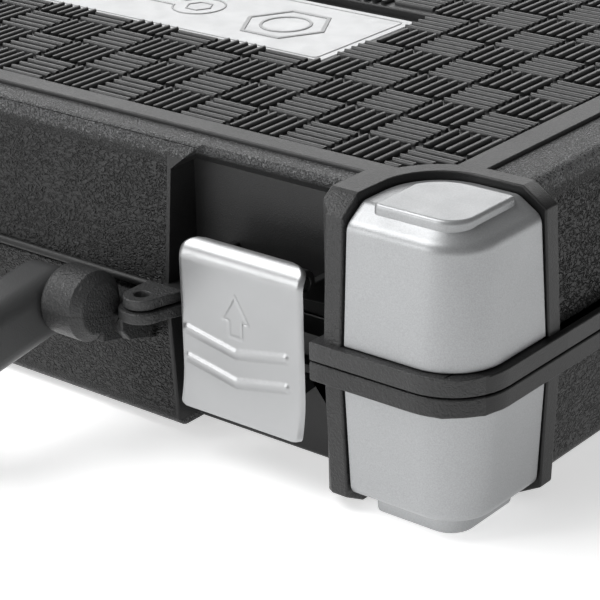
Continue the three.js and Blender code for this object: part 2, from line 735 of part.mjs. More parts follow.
// A reversible ratchet lying along X: its head at headX, its grip to the right.
function addRatchet(prefix, headX, y, size, length) {
  const z = TOOL_Z;
  const headHalf = 12 * size;
  const headRadius = 19 * size;
  const rotorRadius = 10 * size;
  const gripStart = headX + length * 0.44;
  const gripEnd = headX + length;
  const gripRadius = 13 * size;
  const tang = 5 * size;
  const square = HALF_INCH * size;
  const ceiling = z + 6 * size;

  const head = drumZ(headX, y, z - headHalf, z + headHalf, headRadius, 20);
  const neck = turnedX([
    [0, 0],
    [0, 10 * size],
    [headRadius * 1.6, 7.5 * size],
    [gripStart - headX - 0.4, 7 * size],
    [gripStart - headX - 0.4, tang],
    [gripEnd - headX - 12, tang],
    [gripEnd - headX - 12, 0],
  ], headX, y, z, 12);
  const rotorBore = drumZ(headX, y, z - headHalf - 1, ceiling, rotorRadius + 0.35, 16);
  const buttonBore = drumZ(headX, y, ceiling - 1, z + headHalf + 1, 4 * size, 12);
  addPart(`${prefix}_body`, head.add(neck).subtract(rotorBore).subtract(buttonBore), chrome);

  const grip = turnedX([
    [0, tang + 0.3],
    [0, gripRadius * 0.8],
    [6, gripRadius * 0.92],
    [(gripEnd - gripStart) * 0.5, gripRadius],
    [gripEnd - gripStart - 8, gripRadius],
    [gripEnd - gripStart, gripRadius * 0.7],
    [gripEnd - gripStart, 0],
    [gripEnd - gripStart - 11, 0],
    [gripEnd - gripStart - 11, tang + 0.3],
    [0, tang + 0.3],
  ], gripStart, y, z, 12);
  addPart(`${prefix}_grip`, grip, gripPlastic);

  const rotor = drumZ(headX, y, z - headHalf, ceiling - 0.5, rotorRadius, 16);
  const squareEnd = z - headHalf - 13 * size;
  const drive = box(headX - square, headX + square, y - square, y + square, squareEnd, z - headHalf + 1);
  addPart(`${prefix}_drive`, rotor.add(drive), steel);

  const leverZ = z + headHalf + 0.3;
  const ring = drumZ(headX, y, leverZ, leverZ + 3 * size, 8 * size, 16);
  const thumbHalf = 2.4 * size;
  const thumbTop = leverZ + 4.4 * size;
  const thumb = box(headX + 6 * size, headX + 17 * size, y - thumbHalf, y + thumbHalf, leverZ, thumbTop);
  const leverBore = drumZ(headX, y, leverZ - 1, leverZ + 6 * size, 4.2 * size, 12);
  addPart(`${prefix}_lever`, ring.add(thumb).subtract(leverBore), blackSmooth);

  addPart(`${prefix}_button`, drumZ(headX, y, ceiling + 2.2, leverZ + 5 * size, 3.5 * size, 12), steel);

  well(headX, y, headRadius, headHalf + 14 * size);
  trough(headX, gripEnd, y, gripRadius, gripRadius);
}

// An extension bar lying along X, with its square to the right and its socket end left.
function addExtension(name, x0, y, length, radius, square) {
  const shaft = turnedX([
    [0, 0],
    [0, radius],
    [square * 3, radius],
    [square * 3 + 4, radius * 0.66],
    [length - square * 2.6 - 4, radius * 0.66],
    [length - square * 2.6, radius * 0.9],
    [length - square * 2.2, radius * 0.9],
    [length - square * 2.2, 0],
  ], x0, y, TOOL_Z, 12);
  const squareBar = (from, to, half) => box(from, to, y - half, y + half, TOOL_Z - half, TOOL_Z + half);
  const tip = squareBar(x0 + length - square * 2.4, x0 + length, square);
  const mouth = squareBar(x0 - 1, x0 + square * 2.2, square + SQUARE_PLAY);
  addPart(name, shaft.add(tip).subtract(mouth), chrome);
  trough(x0, x0 + length, y, radius, radius);
}

// A socket standing upright: hexagonal mouth up, square drive down, open right through.
function addSocket(name, x, y, radius, length, square, depth) {
  const z0 = TOOL_Z - depth;
  const z1 = z0 + length;
  const hexRadius = radius * 0.78;
  const body = drumZ(x, y, z0, z1, Math.max(radius, square * 1.7), 16, radius);
  const mouth = drumZ(x, y, z0 + length * 0.5, z1 + 1, hexRadius, 6);
  const drive = box(x - square, x + square, y - square, y + square, z0 - 1, z0 + length * 0.5 + 0.5);
  addPart(name, body.subtract(mouth).subtract(drive), chrome);
  well(x, y, Math.max(radius, square * 1.7), depth);
}

// The screwdriver-style handle for the small sockets.
function addSpinner(x0, y) {
  const shaft = turnedX([
    [0, 0],
    [0, 3.4],
    [100, 3.4],
    [100, 0],
  ], x0, y, TOOL_Z, 12);
  const tip = box(x0 - 8, x0 + 1, y - 2.4, y + 2.4, TOOL_Z - 2.4, TOOL_Z + 2.4);
  addPart("spinner_shaft", shaft.add(tip), chrome);
  const grip = turnedX([
    [0, 3.7],
    [0, 8],
    [10, 9],
    [26, 13],
    [78, 13],
    [86, 9],
    [86, 0],
    [48, 0],
    [48, 3.7],
    [0, 3.7],
  ], x0 + 53, y, TOOL_Z, 12);
  addPart("spinner_grip", grip, gripPlastic);
  trough(x0 - 8, x0 + 139, y, 13, 13);
}

// A sliding T-bar: the head runs along the bar between its two end collars.
function addSlidingBar(x0, y, length) {
  const bar = turnedX([
    [0, 0],
    [0, 4.2],
    [5, 4.2],
    [5, 3.2],
    [length - 5, 3.2],
    [length - 5, 4.2],
    [length, 4.2],
    [length, 0],
  ], x0, y, TOOL_Z, 12);
  addPart("sliding_bar", bar, chrome);
  const middle = x0 + length / 2;
  const head = drumZ(middle, y, TOOL_Z - 7, TOOL_Z + 7, 7.5, 16);
  const tip = box(middle - 3.2, middle + 3.2, y - 3.2, y + 3.2, TOOL_Z - 15, TOOL_Z - 6);
  const bore = drumX(middle - 12, middle + 12, y, TOOL_Z, 3.5, 12);
  addPart("sliding_head", head.add(tip).subtract(bore), chrome);
  trough(x0, x0 + length, y, 7.5, 16);
}

// Where the rows of tools lie, from the back of the tray to the front.
const LONG_ROW_Y = 106;
const BAR_ROW_Y = 70;
const SHORT_ROW_Y = 38;
const SLIDE_ROW_Y = 14;
const LARGE_ROW_Y = -20;
const SMALL_ROW_Y = -62;
const LEFT_X = -180;
const SHORT_BAR_X = 92;
const SOCKETS_IN_ROW = 8;
const PLUG_SOCKETS = 2;

function addTools() {
  addRatchet("ratchet_half", -160, LONG_ROW_Y, 1, 235);
  addRatchet("ratchet_quarter", -168, SHORT_ROW_Y, 0.62, 135);
  addExtension("extension_long", LEFT_X, BAR_ROW_Y, 250, 9, HALF_INCH);
  addExtension("extension_short", SHORT_BAR_X, BAR_ROW_Y, 80, 9, HALF_INCH);
  addExtension("extension_quarter", SHORT_BAR_X, LONG_ROW_Y - 2, 80, 6, QUARTER_INCH);
  addSpinner(8, SHORT_ROW_Y);
  addSlidingBar(LEFT_X, SLIDE_ROW_Y, 120);

  for (let i = 0; i < SOCKETS_IN_ROW; i += 1) {
    const radius = 11.5 + i * 1.15;
    const x = -168 + i * 38 + i * i * 1.3;
    const length = i > 5 ? 41 : 38;
    addSocket(`socket_half_${i + 1}`, x, LARGE_ROW_Y, radius, length, HALF_INCH, 18);
  }
  for (let i = 0; i < SOCKETS_IN_ROW; i += 1) {
    const radius = 6 + i * 0.55;
    addSocket(`socket_quarter_${i + 1}`, -174 + i * 24, SMALL_ROW_Y, radius, 25, QUARTER_INCH, 12);
  }
  for (let i = 0; i < PLUG_SOCKETS; i += 1) {
    const radius = 13 + i * 1.4;
    addSocket(`socket_spark_plug_${i + 1}`, 60 + i * 42, SMALL_ROW_Y, radius, 52, HALF_INCH, 25);
  }
}

function trayOutline() {
  return roundedOutline(-TRAY_X, TRAY_Y0, TRAY_X, TRAY_Y1, [3, 3, 12, 12]);
}

// The moulded tray: a skin with a skirt, and a tub under every tool.
function toolTray() {
  const top = TOOL_Z;
  const bottom = level(1, TRAY_BOTTOM);
  const block = prism(trayOutline(), bottom, top, 3);
  const hollow = box(
    -TRAY_X + TRAY_SKIN,
    TRAY_X - TRAY_SKIN,
    TRAY_Y0 + TRAY_SKIN,
    TRAY_Y1 - TRAY_SKIN,
    bottom - 1,
    top - TRAY_SKIN,
  );
  const tubs = join(pockets.map((make) => make(TRAY_SKIN))).intersect(block);
  const rooms = join(pockets.map((make) => make(0)));
  return block.subtract(hollow).add(tubs).subtract(rooms);
}

function lidLiner() {
  const z1 = level(1, LID.cavity - 0.3);
  return prism(trayOutline(), z1 - LINER_THICKNESS, z1, 3);
}

function badgePlate() {
  const z0 = level(1, BADGE_FLOOR + 0.3);
  return prism(
    roundedOutline(-BADGE_X, BADGE_Y0, BADGE_X, BADGE_Y1, [2, 2, 2, 2]),
    z0,
    z0 + BADGE_THICKNESS,
    3,
  );
}

// ---------------------------------------------------------------- assembly

addPart("base_shell", baseShell(), blackShell);
addPart("lid_shell", lidShell(), blackShell);
addPart("badge_plate", badgePlate(), badgeMetal);
addPart("lid_liner", lidLiner(), foam);

for (const side of BOTH) {
  for (const end of BOTH) {
    addPart(`lid_guard_${endName(end)}_${sideName(side)}`, cornerGuard(side, end, 1), silverPaint);
    addPart(`base_guard_${endName(end)}_${sideName(side)}`, cornerGuard(side, end, -1), silverPaint);
  }
  addPart(`latch_plate_${sideName(side)}`, latchPlate(side), satinMetal);
  addPart(`latch_lever_${sideName(side)}`, latchLever(side), blackSmooth);
  addPart(`latch_pin_${sideName(side)}`, latchPin(side), steel);
  addPart(`hinge_pin_${sideName(side)}`, hingePin(side), steel);
}

const handle = carryHandle();
addPart("carry_handle", handle, blackSmooth);
model.position.y = -(handle.boundingBox().min[1] + HINGE_Y + HINGE_RADIUS) / 2;
addTools();
addPart("tool_tray", toolTray(), trayPlastic);

export default model;
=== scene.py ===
# Looks of the socket wrench set in its carrying case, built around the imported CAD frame.
# Metres; +X right, +Y towards the hinges, +Z up. The case lies closed on z = 0.
# Shapes are drawn in millimetres about the case's own centre and moved into place at the end.

import json
import math

import bmesh
import bpy
from mathutils import Euler, Matrix, Vector


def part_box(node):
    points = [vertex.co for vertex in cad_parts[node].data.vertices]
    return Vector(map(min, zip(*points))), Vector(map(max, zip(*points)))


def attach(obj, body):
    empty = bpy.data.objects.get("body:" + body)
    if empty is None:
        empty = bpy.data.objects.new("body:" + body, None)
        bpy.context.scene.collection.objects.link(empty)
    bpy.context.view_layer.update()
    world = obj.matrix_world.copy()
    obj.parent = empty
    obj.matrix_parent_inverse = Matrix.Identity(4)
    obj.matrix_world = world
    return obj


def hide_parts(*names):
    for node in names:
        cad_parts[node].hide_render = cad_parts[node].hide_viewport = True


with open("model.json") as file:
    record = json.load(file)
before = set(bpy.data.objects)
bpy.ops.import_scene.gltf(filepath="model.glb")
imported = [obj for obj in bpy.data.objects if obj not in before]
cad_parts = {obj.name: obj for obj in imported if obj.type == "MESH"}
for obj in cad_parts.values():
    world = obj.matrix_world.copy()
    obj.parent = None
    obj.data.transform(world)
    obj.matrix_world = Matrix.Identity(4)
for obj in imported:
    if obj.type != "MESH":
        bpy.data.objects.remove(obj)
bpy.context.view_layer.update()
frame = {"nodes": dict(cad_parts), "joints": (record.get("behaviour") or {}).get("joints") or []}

# ---------------------------------------------------------------- driving dimensions

MM = 0.001
JOINTS = {joint["name"]: joint for joint in frame["joints"]}
HINGE_Y = 150.6
PARTING = JOINTS["lid_hinge"]["pos_m"][2] / MM
CENTRE_Y = JOINTS["lid_hinge"]["pos_m"][1] - HINGE_Y * MM
HANDLE_PIVOT_Y = (JOINTS["handle_pivot"]["pos_m"][1] - CENTRE_Y) / MM
HANDLE_PIVOT_H = JOINTS["handle_pivot"]["pos_m"][2] / MM - PARTING
CASE = Matrix.Translation((0, CENTRE_Y, 0)) @ Matrix.Scale(MM, 4)
BOTH = (-1, 1)
SIDES = {-1: "left", 1: "right"}
ENDS = {-1: "front", 1: "back"}
HALVES = {-1: "base", 1: "lid"}

FIELD_X = 173.6
FIELD_Y = 120
FRAME_X = 181.6
FRAME_Y = 126.9
PANEL_HEIGHT = 40.9
MARGIN_HEIGHT = {1: 41.2, -1: 39.3}
BAND_HEIGHT = 5.1
WALL_X = 201.6
WALL_Y = 139.2
WALL_TOP_X = {1: 193.6, -1: 195.2}
WALL_TOP_Y = {1: 135.4, -1: 137.2}
RIM_X = 160.3
RIM_Y = 107.7
RECESS_X0 = 103.2
RECESS_X1 = 157.6
RECESS_Y = 127.2
RECESS_CORNER_H = 32.9
RECESS_CORNER_SLOPE = 1.2
RECESS_TOP = 37
SKIN_X = 203.2
SKIN_Y = 147.7
BOSS_X1 = 94.5

# How the shells are cleaned and rounded.
MERGE_DISTANCE = 0.02
SHARP_ANGLE = 36
WIDE_EDGE_ANGLE = 28
FLAT_ANGLE = 0.6
SHORTEST_EDGE = 0.2
FINE_ROUND = 0.55

# Ribs on the lid: square tiles of parallel bars, laid like a woven mat.
TILES_X = 21
TILES_Y = 15
RIBS_PER_TILE = 5
RIB_MARGIN = 0.05
RIB_RINGS = ((1.02, -0.1), (0.98, 0.5), (0.82, 0.92), (0.52, 1.14), (0.18, 1.22))
RIB_END_STEPS = 5
RIB_SHORTEST = 2.6
RIB_PROBES = 48
BADGE_ROOM_X = 93.2
BADGE_ROOM_Y0 = -61.6
BADGE_ROOM_Y1 = -6.3
RIM_ARC_A = 9
RIM_ARC_B = 10
RIM_ARC_RADIUS = 22.4

# ---------------------------------------------------------------- camera and stage


# The camera stands this many metres from the middle of the case, turned by these degrees.
CAMERA_PLACE = (0.46876, -0.5296, 0.2297)
CAMERA_TURN = (66.498, 1.361, 38.890)
CAMERA_LENS = 134.93
FLOOR_DROP = 0.0004
FLOOR_GREY = 0.93
FLOOR_GLOW = 0.55
WORLD_GLOW = 0.2
# Each lamp's place, the point it faces, its size and its power.
LAMPS = {
    "key_light": ((-0.5, -0.45, 1.1), (0.05, -0.05, 0.04), (1.0, 0.8), 13.5),
    "back_light": ((-0.9, 1.1, 0.75), (0.1, 0, 0.04), (1.7, 0.7), 9.5),
    "front_light": ((-0.45, -1.2, 0.4), (0.12, -0.1, 0.04), (0.8, 0.5), 4.6),
}


def make_camera():
    """Looks down at the front right corner of the case through a long lens."""
    camera = bpy.data.cameras.new("camera")
    camera.sensor_width = 36
    camera.lens = CAMERA_LENS
    camera.clip_start = 0.01
    camera.clip_end = 20
    holder = bpy.data.objects.new("camera", camera)
    x, y, z = CAMERA_PLACE
    holder.location = (x, CENTRE_Y + y, PARTING * MM + z)
    holder.rotation_euler = Euler([math.radians(angle) for angle in CAMERA_TURN])
    bpy.context.scene.collection.objects.link(holder)
    bpy.context.scene.camera = holder


def add_light(name, location, target, size, energy):
    light = bpy.data.lights.new(name, "AREA")
    light.shape = "RECTANGLE"
    light.size, light.size_y = size
    light.energy = energy
    holder = bpy.data.objects.new(name, light)
    holder.location = location
    holder.rotation_euler = (Vector(target) - Vector(location)).to_track_quat("-Z", "Y").to_euler()
    bpy.context.scene.collection.objects.link(holder)


def make_stage():
    """A plain white floor and world, a soft key light, and weaker lights behind and in front."""
    bpy.ops.mesh.primitive_plane_add(size=12, location=(0, 0, -FLOOR_DROP))
    floor = bpy.context.object
    floor.name = "floor"
    material = bpy.data.materials.new("floor")
    material.use_nodes = True
    shader = material.node_tree.nodes["Principled BSDF"]
    shader.inputs["Base Color"].default_value = (FLOOR_GREY, FLOOR_GREY, FLOOR_GREY, 1)
    shader.inputs["Roughness"].default_value = 0.8
    shader.inputs["Emission Color"].default_value = (1, 1, 1, 1)
    shader.inputs["Emission Strength"].default_value = FLOOR_GLOW
    floor.data.materials.append(material)
    world = bpy.data.worlds.new("world")
    bpy.context.scene.world = world
    world.use_nodes = True
    background = world.node_tree.nodes["Background"]
    background.inputs["Color"].default_value = (1, 1, 1, 1)
    background.inputs["Strength"].default_value = WORLD_GLOW
    for name, (location, target, size, energy) in LAMPS.items():
        add_light(name, location, target, size, energy)
    bpy.context.scene.view_settings.view_transform = "Standard"


make_camera()
make_stage()

# ---------------------------------------------------------------- finishes


CREASE_WIDTH = 0.09


class Finish:
    """A principled material with the few procedural recipes that all the finishes share."""

    def __init__(self, name, metallic=0.0, specular=0.5):
        self.material = bpy.data.materials.new(name)
        self.material.use_nodes = True
        self.nodes = self.material.node_tree.nodes
        self.links = self.material.node_tree.links
        self.shader = self.nodes["Principled BSDF"]
        self.shader.inputs["Metallic"].default_value = metallic
        self.shader.inputs["Specular IOR Level"].default_value = specular
        self.where = self.nodes.new("ShaderNodeTexCoord").outputs["Object"]

    def feed(self, value, socket):
        if isinstance(value, (int, float)):
            socket.default_value = value
        else:
            self.links.new(value, socket)

    def math(self, operation, first, second=0.0, clamp=False):
        node = self.nodes.new("ShaderNodeMath")
        node.operation = operation
        node.use_clamp = clamp
        self.feed(first, node.inputs[0])
        self.feed(second, node.inputs[1])
        return node.outputs[0]

    def times(self, first, second):
        return self.math("MULTIPLY", first, second)

    def above(self, value, low):
        return self.math("GREATER_THAN", value, low)

    def below(self, value, high):
        return self.math("LESS_THAN", value, high)

    def weigh(self, value, weight, total):
        """The total with a weighted value added to it."""
        return self.math("ADD", total, self.times(value, weight))

    def noise(self, size, detail=2.0, distortion=0.0, roughness=0.5):
        node = self.nodes.new("ShaderNodeTexNoise")
        node.inputs["Scale"].default_value = 1 / (size * MM)
        node.inputs["Detail"].default_value = detail
        node.inputs["Distortion"].default_value = distortion
        node.inputs["Roughness"].default_value = roughness
        self.links.new(self.where, node.inputs["Vector"])
        return node.outputs["Fac"]

    def cells(self, size):
        """Warped cells about size millimetres across: zero on their edges."""
        warp = self.nodes.new("ShaderNodeTexNoise")
        warp.inputs["Scale"].default_value = 1 / (size * 1.6 * MM)
        self.links.new(self.where, warp.inputs["Vector"])
        shift = self.nodes.new("ShaderNodeVectorMath")
        shift.operation = "MULTIPLY_ADD"
        shift.inputs[1].default_value = (size * 1.3 * MM,) * 3
        self.links.new(warp.outputs["Color"], shift.inputs[0])
        self.links.new(self.where, shift.inputs[2])
        node = self.nodes.new("ShaderNodeTexVoronoi")
        node.feature = "DISTANCE_TO_EDGE"
        node.inputs["Scale"].default_value = 1 / (size * MM)
        self.links.new(shift.outputs[0], node.inputs["Vector"])
        return node.outputs["Distance"]

    def wrinkles(self, size, drawn_out):
        """Winding ridges about size millimetres apart, drawn out level with the ground."""
        stretch = self.nodes.new("ShaderNodeVectorMath")
        stretch.operation = "MULTIPLY"
        stretch.inputs[1].default_value = (1 / drawn_out, 1 / drawn_out, 1)
        self.links.new(self.where, stretch.inputs[0])
        node = self.nodes.new("ShaderNodeTexNoise")
        node.inputs["Scale"].default_value = 1 / (size * MM)
        node.inputs["Detail"].default_value = 1.5
        node.inputs["Distortion"].default_value = 0.5
        self.links.new(stretch.outputs[0], node.inputs["Vector"])
        away = self.math("ABSOLUTE", self.math("SUBTRACT", node.outputs["Fac"], 0.5))
        return self.ramp(away, 0.0, CREASE_WIDTH)

    def ramp(self, value, low, high):
        """Zero below low, one above high, smooth between."""
        node = self.nodes.new("ShaderNodeMapRange")
        node.interpolation_type = "SMOOTHSTEP"
        node.inputs["From Min"].default_value = low
        node.inputs["From Max"].default_value = high
        self.links.new(value, node.inputs["Value"])
        return node.outputs["Result"]

    def spread(self, value, low, high):
        node = self.nodes.new("ShaderNodeMapRange")
        node.inputs["From Min"].default_value = 0.25
        node.inputs["From Max"].default_value = 0.75
        node.inputs["To Min"].default_value = low
        node.inputs["To Max"].default_value = high
        self.links.new(value, node.inputs["Value"])
        return node.outputs["Result"]

    def tint(self, factor, dark, light):
        node = self.nodes.new("ShaderNodeMix")
        node.data_type = "RGBA"
        node.inputs["A"].default_value = (*dark, 1)
        node.inputs["B"].default_value = (*light, 1)
        self.feed(factor, node.inputs["Factor"])
        self.links.new(node.outputs["Result"], self.shader.inputs["Base Color"])

    def rough(self, value, low, high):
        self.links.new(self.spread(value, low, high), self.shader.inputs["Roughness"])

    def bump(self, height, depth, strength=1.0):
        node = self.nodes.new("ShaderNodeBump")
        node.inputs["Distance"].default_value = depth * MM
        node.inputs["Strength"].default_value = strength
        self.links.new(height, node.inputs["Height"])
        self.links.new(node.outputs["Normal"], self.shader.inputs["Normal"])

    def inside(self, value, low, high):
        return self.times(self.above(value, low), self.below(value, high))


def grey(level, cool=0.012):
    return (level * (1 - cool), level, level * (1 + cool))


# Where the shell's grain changes, how deep each kind is, and how pale each is painted; some of these
# tones are painted light and shade.
STIPPLE_HEIGHT = 34.8
FLANK_DEPTH = 6
RECESS_DEPTH = 5
BAND_START = 0.2
FITTING_START = 0.9
FRAME_FOOT = 0.3
# Between these heights the upper stipple band is painted paler: a painted sheen where the rounded crown
# faces the light.
SHEEN_PAINT_FROM = 36
SHEEN_PAINT_TO = 40
RELIEF_DEPTH = 0.8
WRINKLE_SIZE = 0.95
WRINKLE_LENGTH = 1.7
WRINKLE_RELIEF = 1.9
SOFT_RELIEF = 0.4
STIPPLE_RELIEF = 0.8
PLAIN_RELIEF = 0.12
FITTING_RELIEF = 0.45
# The base half keeps a darker tone than the lid: partly its own tone, partly painted shade.
BASE_TONE_PAINTED_SHADE = 0.05
LID_TONE_OVER_PAINTED_SHADE = 0.16
# How strong the painted sheen on the upper stipple band is.
STIPPLE_PAINTED_SHEEN = 2.4
# Painted light: the fittings beyond the walls are painted paler, as if lit from above.
FITTING_PAINTED_LIGHT = 0.12
# Painted shade in the valleys of the leather grain.
VALLEY_PAINTED_SHADE = 0.12
CORNER_SHADE = 0.05


def shell_finish():
    """Moulded black plastic: leather grain on the walls, stipple on the margin, plain elsewhere; its
    colour also holds painted sheen, painted light and painted shade.
    """
    finish = Finish("black_shell", specular=0.42)
    split = finish.nodes.new("ShaderNodeSeparateXYZ")
    finish.links.new(finish.where, split.inputs[0])
    x, y, z = split.outputs
    across = finish.math("ABSOLUTE", x)
    local_y = finish.math("SUBTRACT", y, CENTRE_Y)
    along = finish.math("ABSOLUTE", local_y)
    height = finish.math("ABSOLUTE", finish.math("SUBTRACT", z, PARTING * MM))
    corner = finish.times(
        finish.above(across, RIM_X * MM),
        finish.above(along, RIM_Y * MM),
    )
    flank = finish.times(
        finish.above(across, (RECESS_X1 - 1) * MM),
        finish.above(along, (RECESS_Y - FLANK_DEPTH) * MM),
    )
    band = finish.above(across, (WALL_X + BAND_START) * MM)
    proud = finish.above(along, (WALL_Y + FITTING_START) * MM)
    band = finish.math("MAXIMUM", band, proud)
    recess = finish.times(
        finish.inside(across, (RECESS_X0 - 1.2) * MM, (RECESS_X1 + 1) * MM),
        finish.below(local_y, -(RECESS_Y - RECESS_DEPTH) * MM),
    )
    recess = finish.times(recess, finish.below(height, RECESS_TOP * MM))
    border = finish.times(
        finish.below(across, (FRAME_X + FRAME_FOOT) * MM),
        finish.below(along, (FRAME_Y + FRAME_FOOT) * MM),
    )
    border = finish.times(border, finish.above(height, RECESS_TOP * MM))
    plain = finish.math("MAXIMUM", corner, flank)
    plain = finish.math("MAXIMUM", plain, finish.math("MAXIMUM", band, recess))
    plain = finish.math("MAXIMUM", plain, border)
    top = finish.above(height, STIPPLE_HEIGHT * MM)
    leather = finish.math("SUBTRACT", 1.0, finish.math("MAXIMUM", plain, top))
    stipple = finish.math("SUBTRACT", top, plain, clamp=True)

    ridges = finish.wrinkles(WRINKLE_SIZE, WRINKLE_LENGTH)
    soft = finish.noise(0.8, 3.0, 0.5)
    fine = finish.noise(0.4, 2.0, 0.3)
    grain = finish.weigh(soft, SOFT_RELIEF, finish.times(ridges, WRINKLE_RELIEF))
    speckle = finish.ramp(finish.noise(0.5, 2.0, 0.8), 0.38, 0.62)
    speckled = finish.times(speckle, stipple)
    relief = finish.times(grain, leather)
    relief = finish.weigh(speckled, STIPPLE_RELIEF, relief)
    relief = finish.weigh(finish.times(fine, plain), PLAIN_RELIEF, relief)
    relief = finish.weigh(finish.times(soft, proud), FITTING_RELIEF, relief)
    finish.bump(relief, RELIEF_DEPTH, 1.0)

    # The grain's valleys: rougher, and painted darker as painted shade in the creases.
    valley = finish.times(finish.math("SUBTRACT", 1.0, ridges), leather)
    cloudy = finish.noise(38, 2.0)
    in_lid = finish.above(z, PARTING * MM)
    # The base half is painted darker than the lid: partly its own tone, partly painted shade.
    tone_reach_painted_base_shade = finish.math("ADD", finish.times(in_lid, LID_TONE_OVER_PAINTED_SHADE), BASE_TONE_PAINTED_SHADE)
    # Painted sheen: the stipple near the crown is painted paler where it faces the light.
    painted_sheen = finish.times(speckled, finish.ramp(height, SHEEN_PAINT_FROM * MM, SHEEN_PAINT_TO * MM))
    tone_with_painted_light_and_shade = finish.times(cloudy, tone_reach_painted_base_shade)
    tone_with_painted_light_and_shade = finish.weigh(painted_sheen, STIPPLE_PAINTED_SHEEN, tone_with_painted_light_and_shade)
    # Painted light on the fittings beyond the walls.
    tone_with_painted_light_and_shade = finish.weigh(proud, FITTING_PAINTED_LIGHT, tone_with_painted_light_and_shade)
    tone_with_painted_light_and_shade = finish.math("SUBTRACT", tone_with_painted_light_and_shade, finish.times(valley, VALLEY_PAINTED_SHADE), clamp=True)
    tone_with_painted_light_and_shade = finish.math("SUBTRACT", tone_with_painted_light_and_shade, finish.times(corner, CORNER_SHADE), clamp=True)
    finish.tint(tone_with_painted_light_and_shade, grey(0.005), grey(0.16))
    rubbed = finish.math("ADD", finish.times(soft, 0.5), finish.times(cloudy, 0.5))
    dull = finish.math("ADD", rubbed, finish.times(valley, 0.5))
    finish.rough(dull, 0.34, 0.5)
    return finish.material


def plastic_finish(name, low, high, rough, grain, depth):
    finish = Finish(name, specular=0.45)
    fine = finish.noise(grain, 3.0)
    finish.tint(finish.noise(26, 2.0), grey(low), grey(high))
    finish.rough(fine, rough - 0.06, rough + 0.08)
    finish.bump(fine, depth, 0.7)
    return finish.material


def paint_finish():
    """Silver lacquer with a fine metallic grain."""
    finish = Finish("silver_paint", metallic=0.55, specular=0.5)
    flake = finish.noise(0.34, 2.0, 0.0, 0.6)
    finish.tint(finish.spread(flake, 0.0, 1.0), grey(0.33, 0.018), grey(0.42, 0.018))
    finish.rough(finish.noise(9, 3.0), 0.33, 0.42)
    finish.bump(flake, 0.05, 0.6)
    return finish.material


def metal_finish(name, low, high, rough_low, rough_high, grain, depth, metallic=1.0):
    finish = Finish(name, metallic=metallic, specular=0.5)
    fine = finish.noise(grain, 2.0)
    finish.tint(finish.noise(14, 3.0), grey(low), grey(high))
    finish.rough(finish.noise(6, 4.0, 0.6), rough_low, rough_high)
    finish.bump(fine, depth, 0.5)
    return finish.material


def foam_finish():
    finish = Finish("foam", specular=0.2)
    pores = finish.cells(1.6)
    finish.tint(finish.noise(18, 3.0), grey(0.02), grey(0.032))
    finish.rough(pores, 0.85, 0.98)
    finish.bump(pores, 0.5, 0.9)
    return finish.material


FINISHES = {
    "black_shell": shell_finish(),
    "black_smooth": plastic_finish("black_smooth", 0.019, 0.025, 0.4, 0.5, 0.06),
    "rib_plastic": plastic_finish("rib_plastic", 0.02, 0.026, 0.36, 0.45, 0.05),
    "silver_paint": paint_finish(),
    "satin_metal": metal_finish("satin_metal", 0.37, 0.42, 0.3, 0.36, 0.3, 0.03, 0.85),
    "badge_metal": metal_finish("badge_metal", 0.4, 0.45, 0.3, 0.4, 0.35, 0.03, 0.7),
    "badge_ink": plastic_finish("badge_ink", 0.36, 0.42, 0.45, 0.4, 0.03),
    "steel": metal_finish("steel", 0.3, 0.36, 0.25, 0.38, 0.4, 0.04),
    "chrome": metal_finish("chrome", 0.56, 0.62, 0.12, 0.22, 0.5, 0.015),
    "grip_plastic": plastic_finish("grip_plastic", 0.022, 0.032, 0.48, 0.7, 0.14),
    "tray_plastic": plastic_finish("tray_plastic", 0.05, 0.062, 0.55, 0.6, 0.12),
    "foam": foam_finish(),
    # A darker copy of the black plastic for the lid bead: painted shade on its upward face.
    "bead_plastic_painted_shade": plastic_finish("bead_plastic_painted_shade", 0.007, 0.01, 0.5, 0.5, 0.06),
    "handle_plastic": plastic_finish("handle_plastic", 0.055, 0.065, 0.42, 0.5, 0.08),
}

# ---------------------------------------------------------------- pieces


def smoothing_group(angle):
    """A node group that shades smooth and keeps edges sharper than the angle crisp."""
    group = bpy.data.node_groups.new("smooth_edges", "GeometryNodeTree")
    group.interface.new_socket("Geometry", in_out="INPUT", socket_type="NodeSocketGeometry")
    group.interface.new_socket("Geometry", in_out="OUTPUT", socket_type="NodeSocketGeometry")
    start = group.nodes.new("NodeGroupInput")
    finish = group.nodes.new("NodeGroupOutput")
    faces = group.nodes.new("GeometryNodeSetShadeSmooth")
    faces.domain = "FACE"
    edges = group.nodes.new("GeometryNodeSetShadeSmooth")
    edges.domain = "EDGE"
    edges.inputs["Shade Smooth"].default_value = False
    bend = group.nodes.new("GeometryNodeInputMeshEdgeAngle")
    test = group.nodes.new("FunctionNodeCompare")
    test.operation = "GREATER_THAN"
    test.inputs["B"].default_value = math.radians(angle)
    group.links.new(start.outputs[0], faces.inputs["Geometry"])
    group.links.new(faces.outputs[0], edges.inputs["Geometry"])
    group.links.new(bend.outputs["Unsigned Angle"], test.inputs["A"])
    group.links.new(test.outputs["Result"], edges.inputs["Selection"])
    group.links.new(edges.outputs[0], finish.inputs[0])
    return group


SMOOTHING = smoothing_group(SHARP_ANGLE)


def finish_shading(piece):
    smooth = piece.modifiers.new("smooth", "NODES")
    smooth.node_group = SMOOTHING
    normals = piece.modifiers.new("normals", "WEIGHTED_NORMAL")
    normals.keep_sharp = True


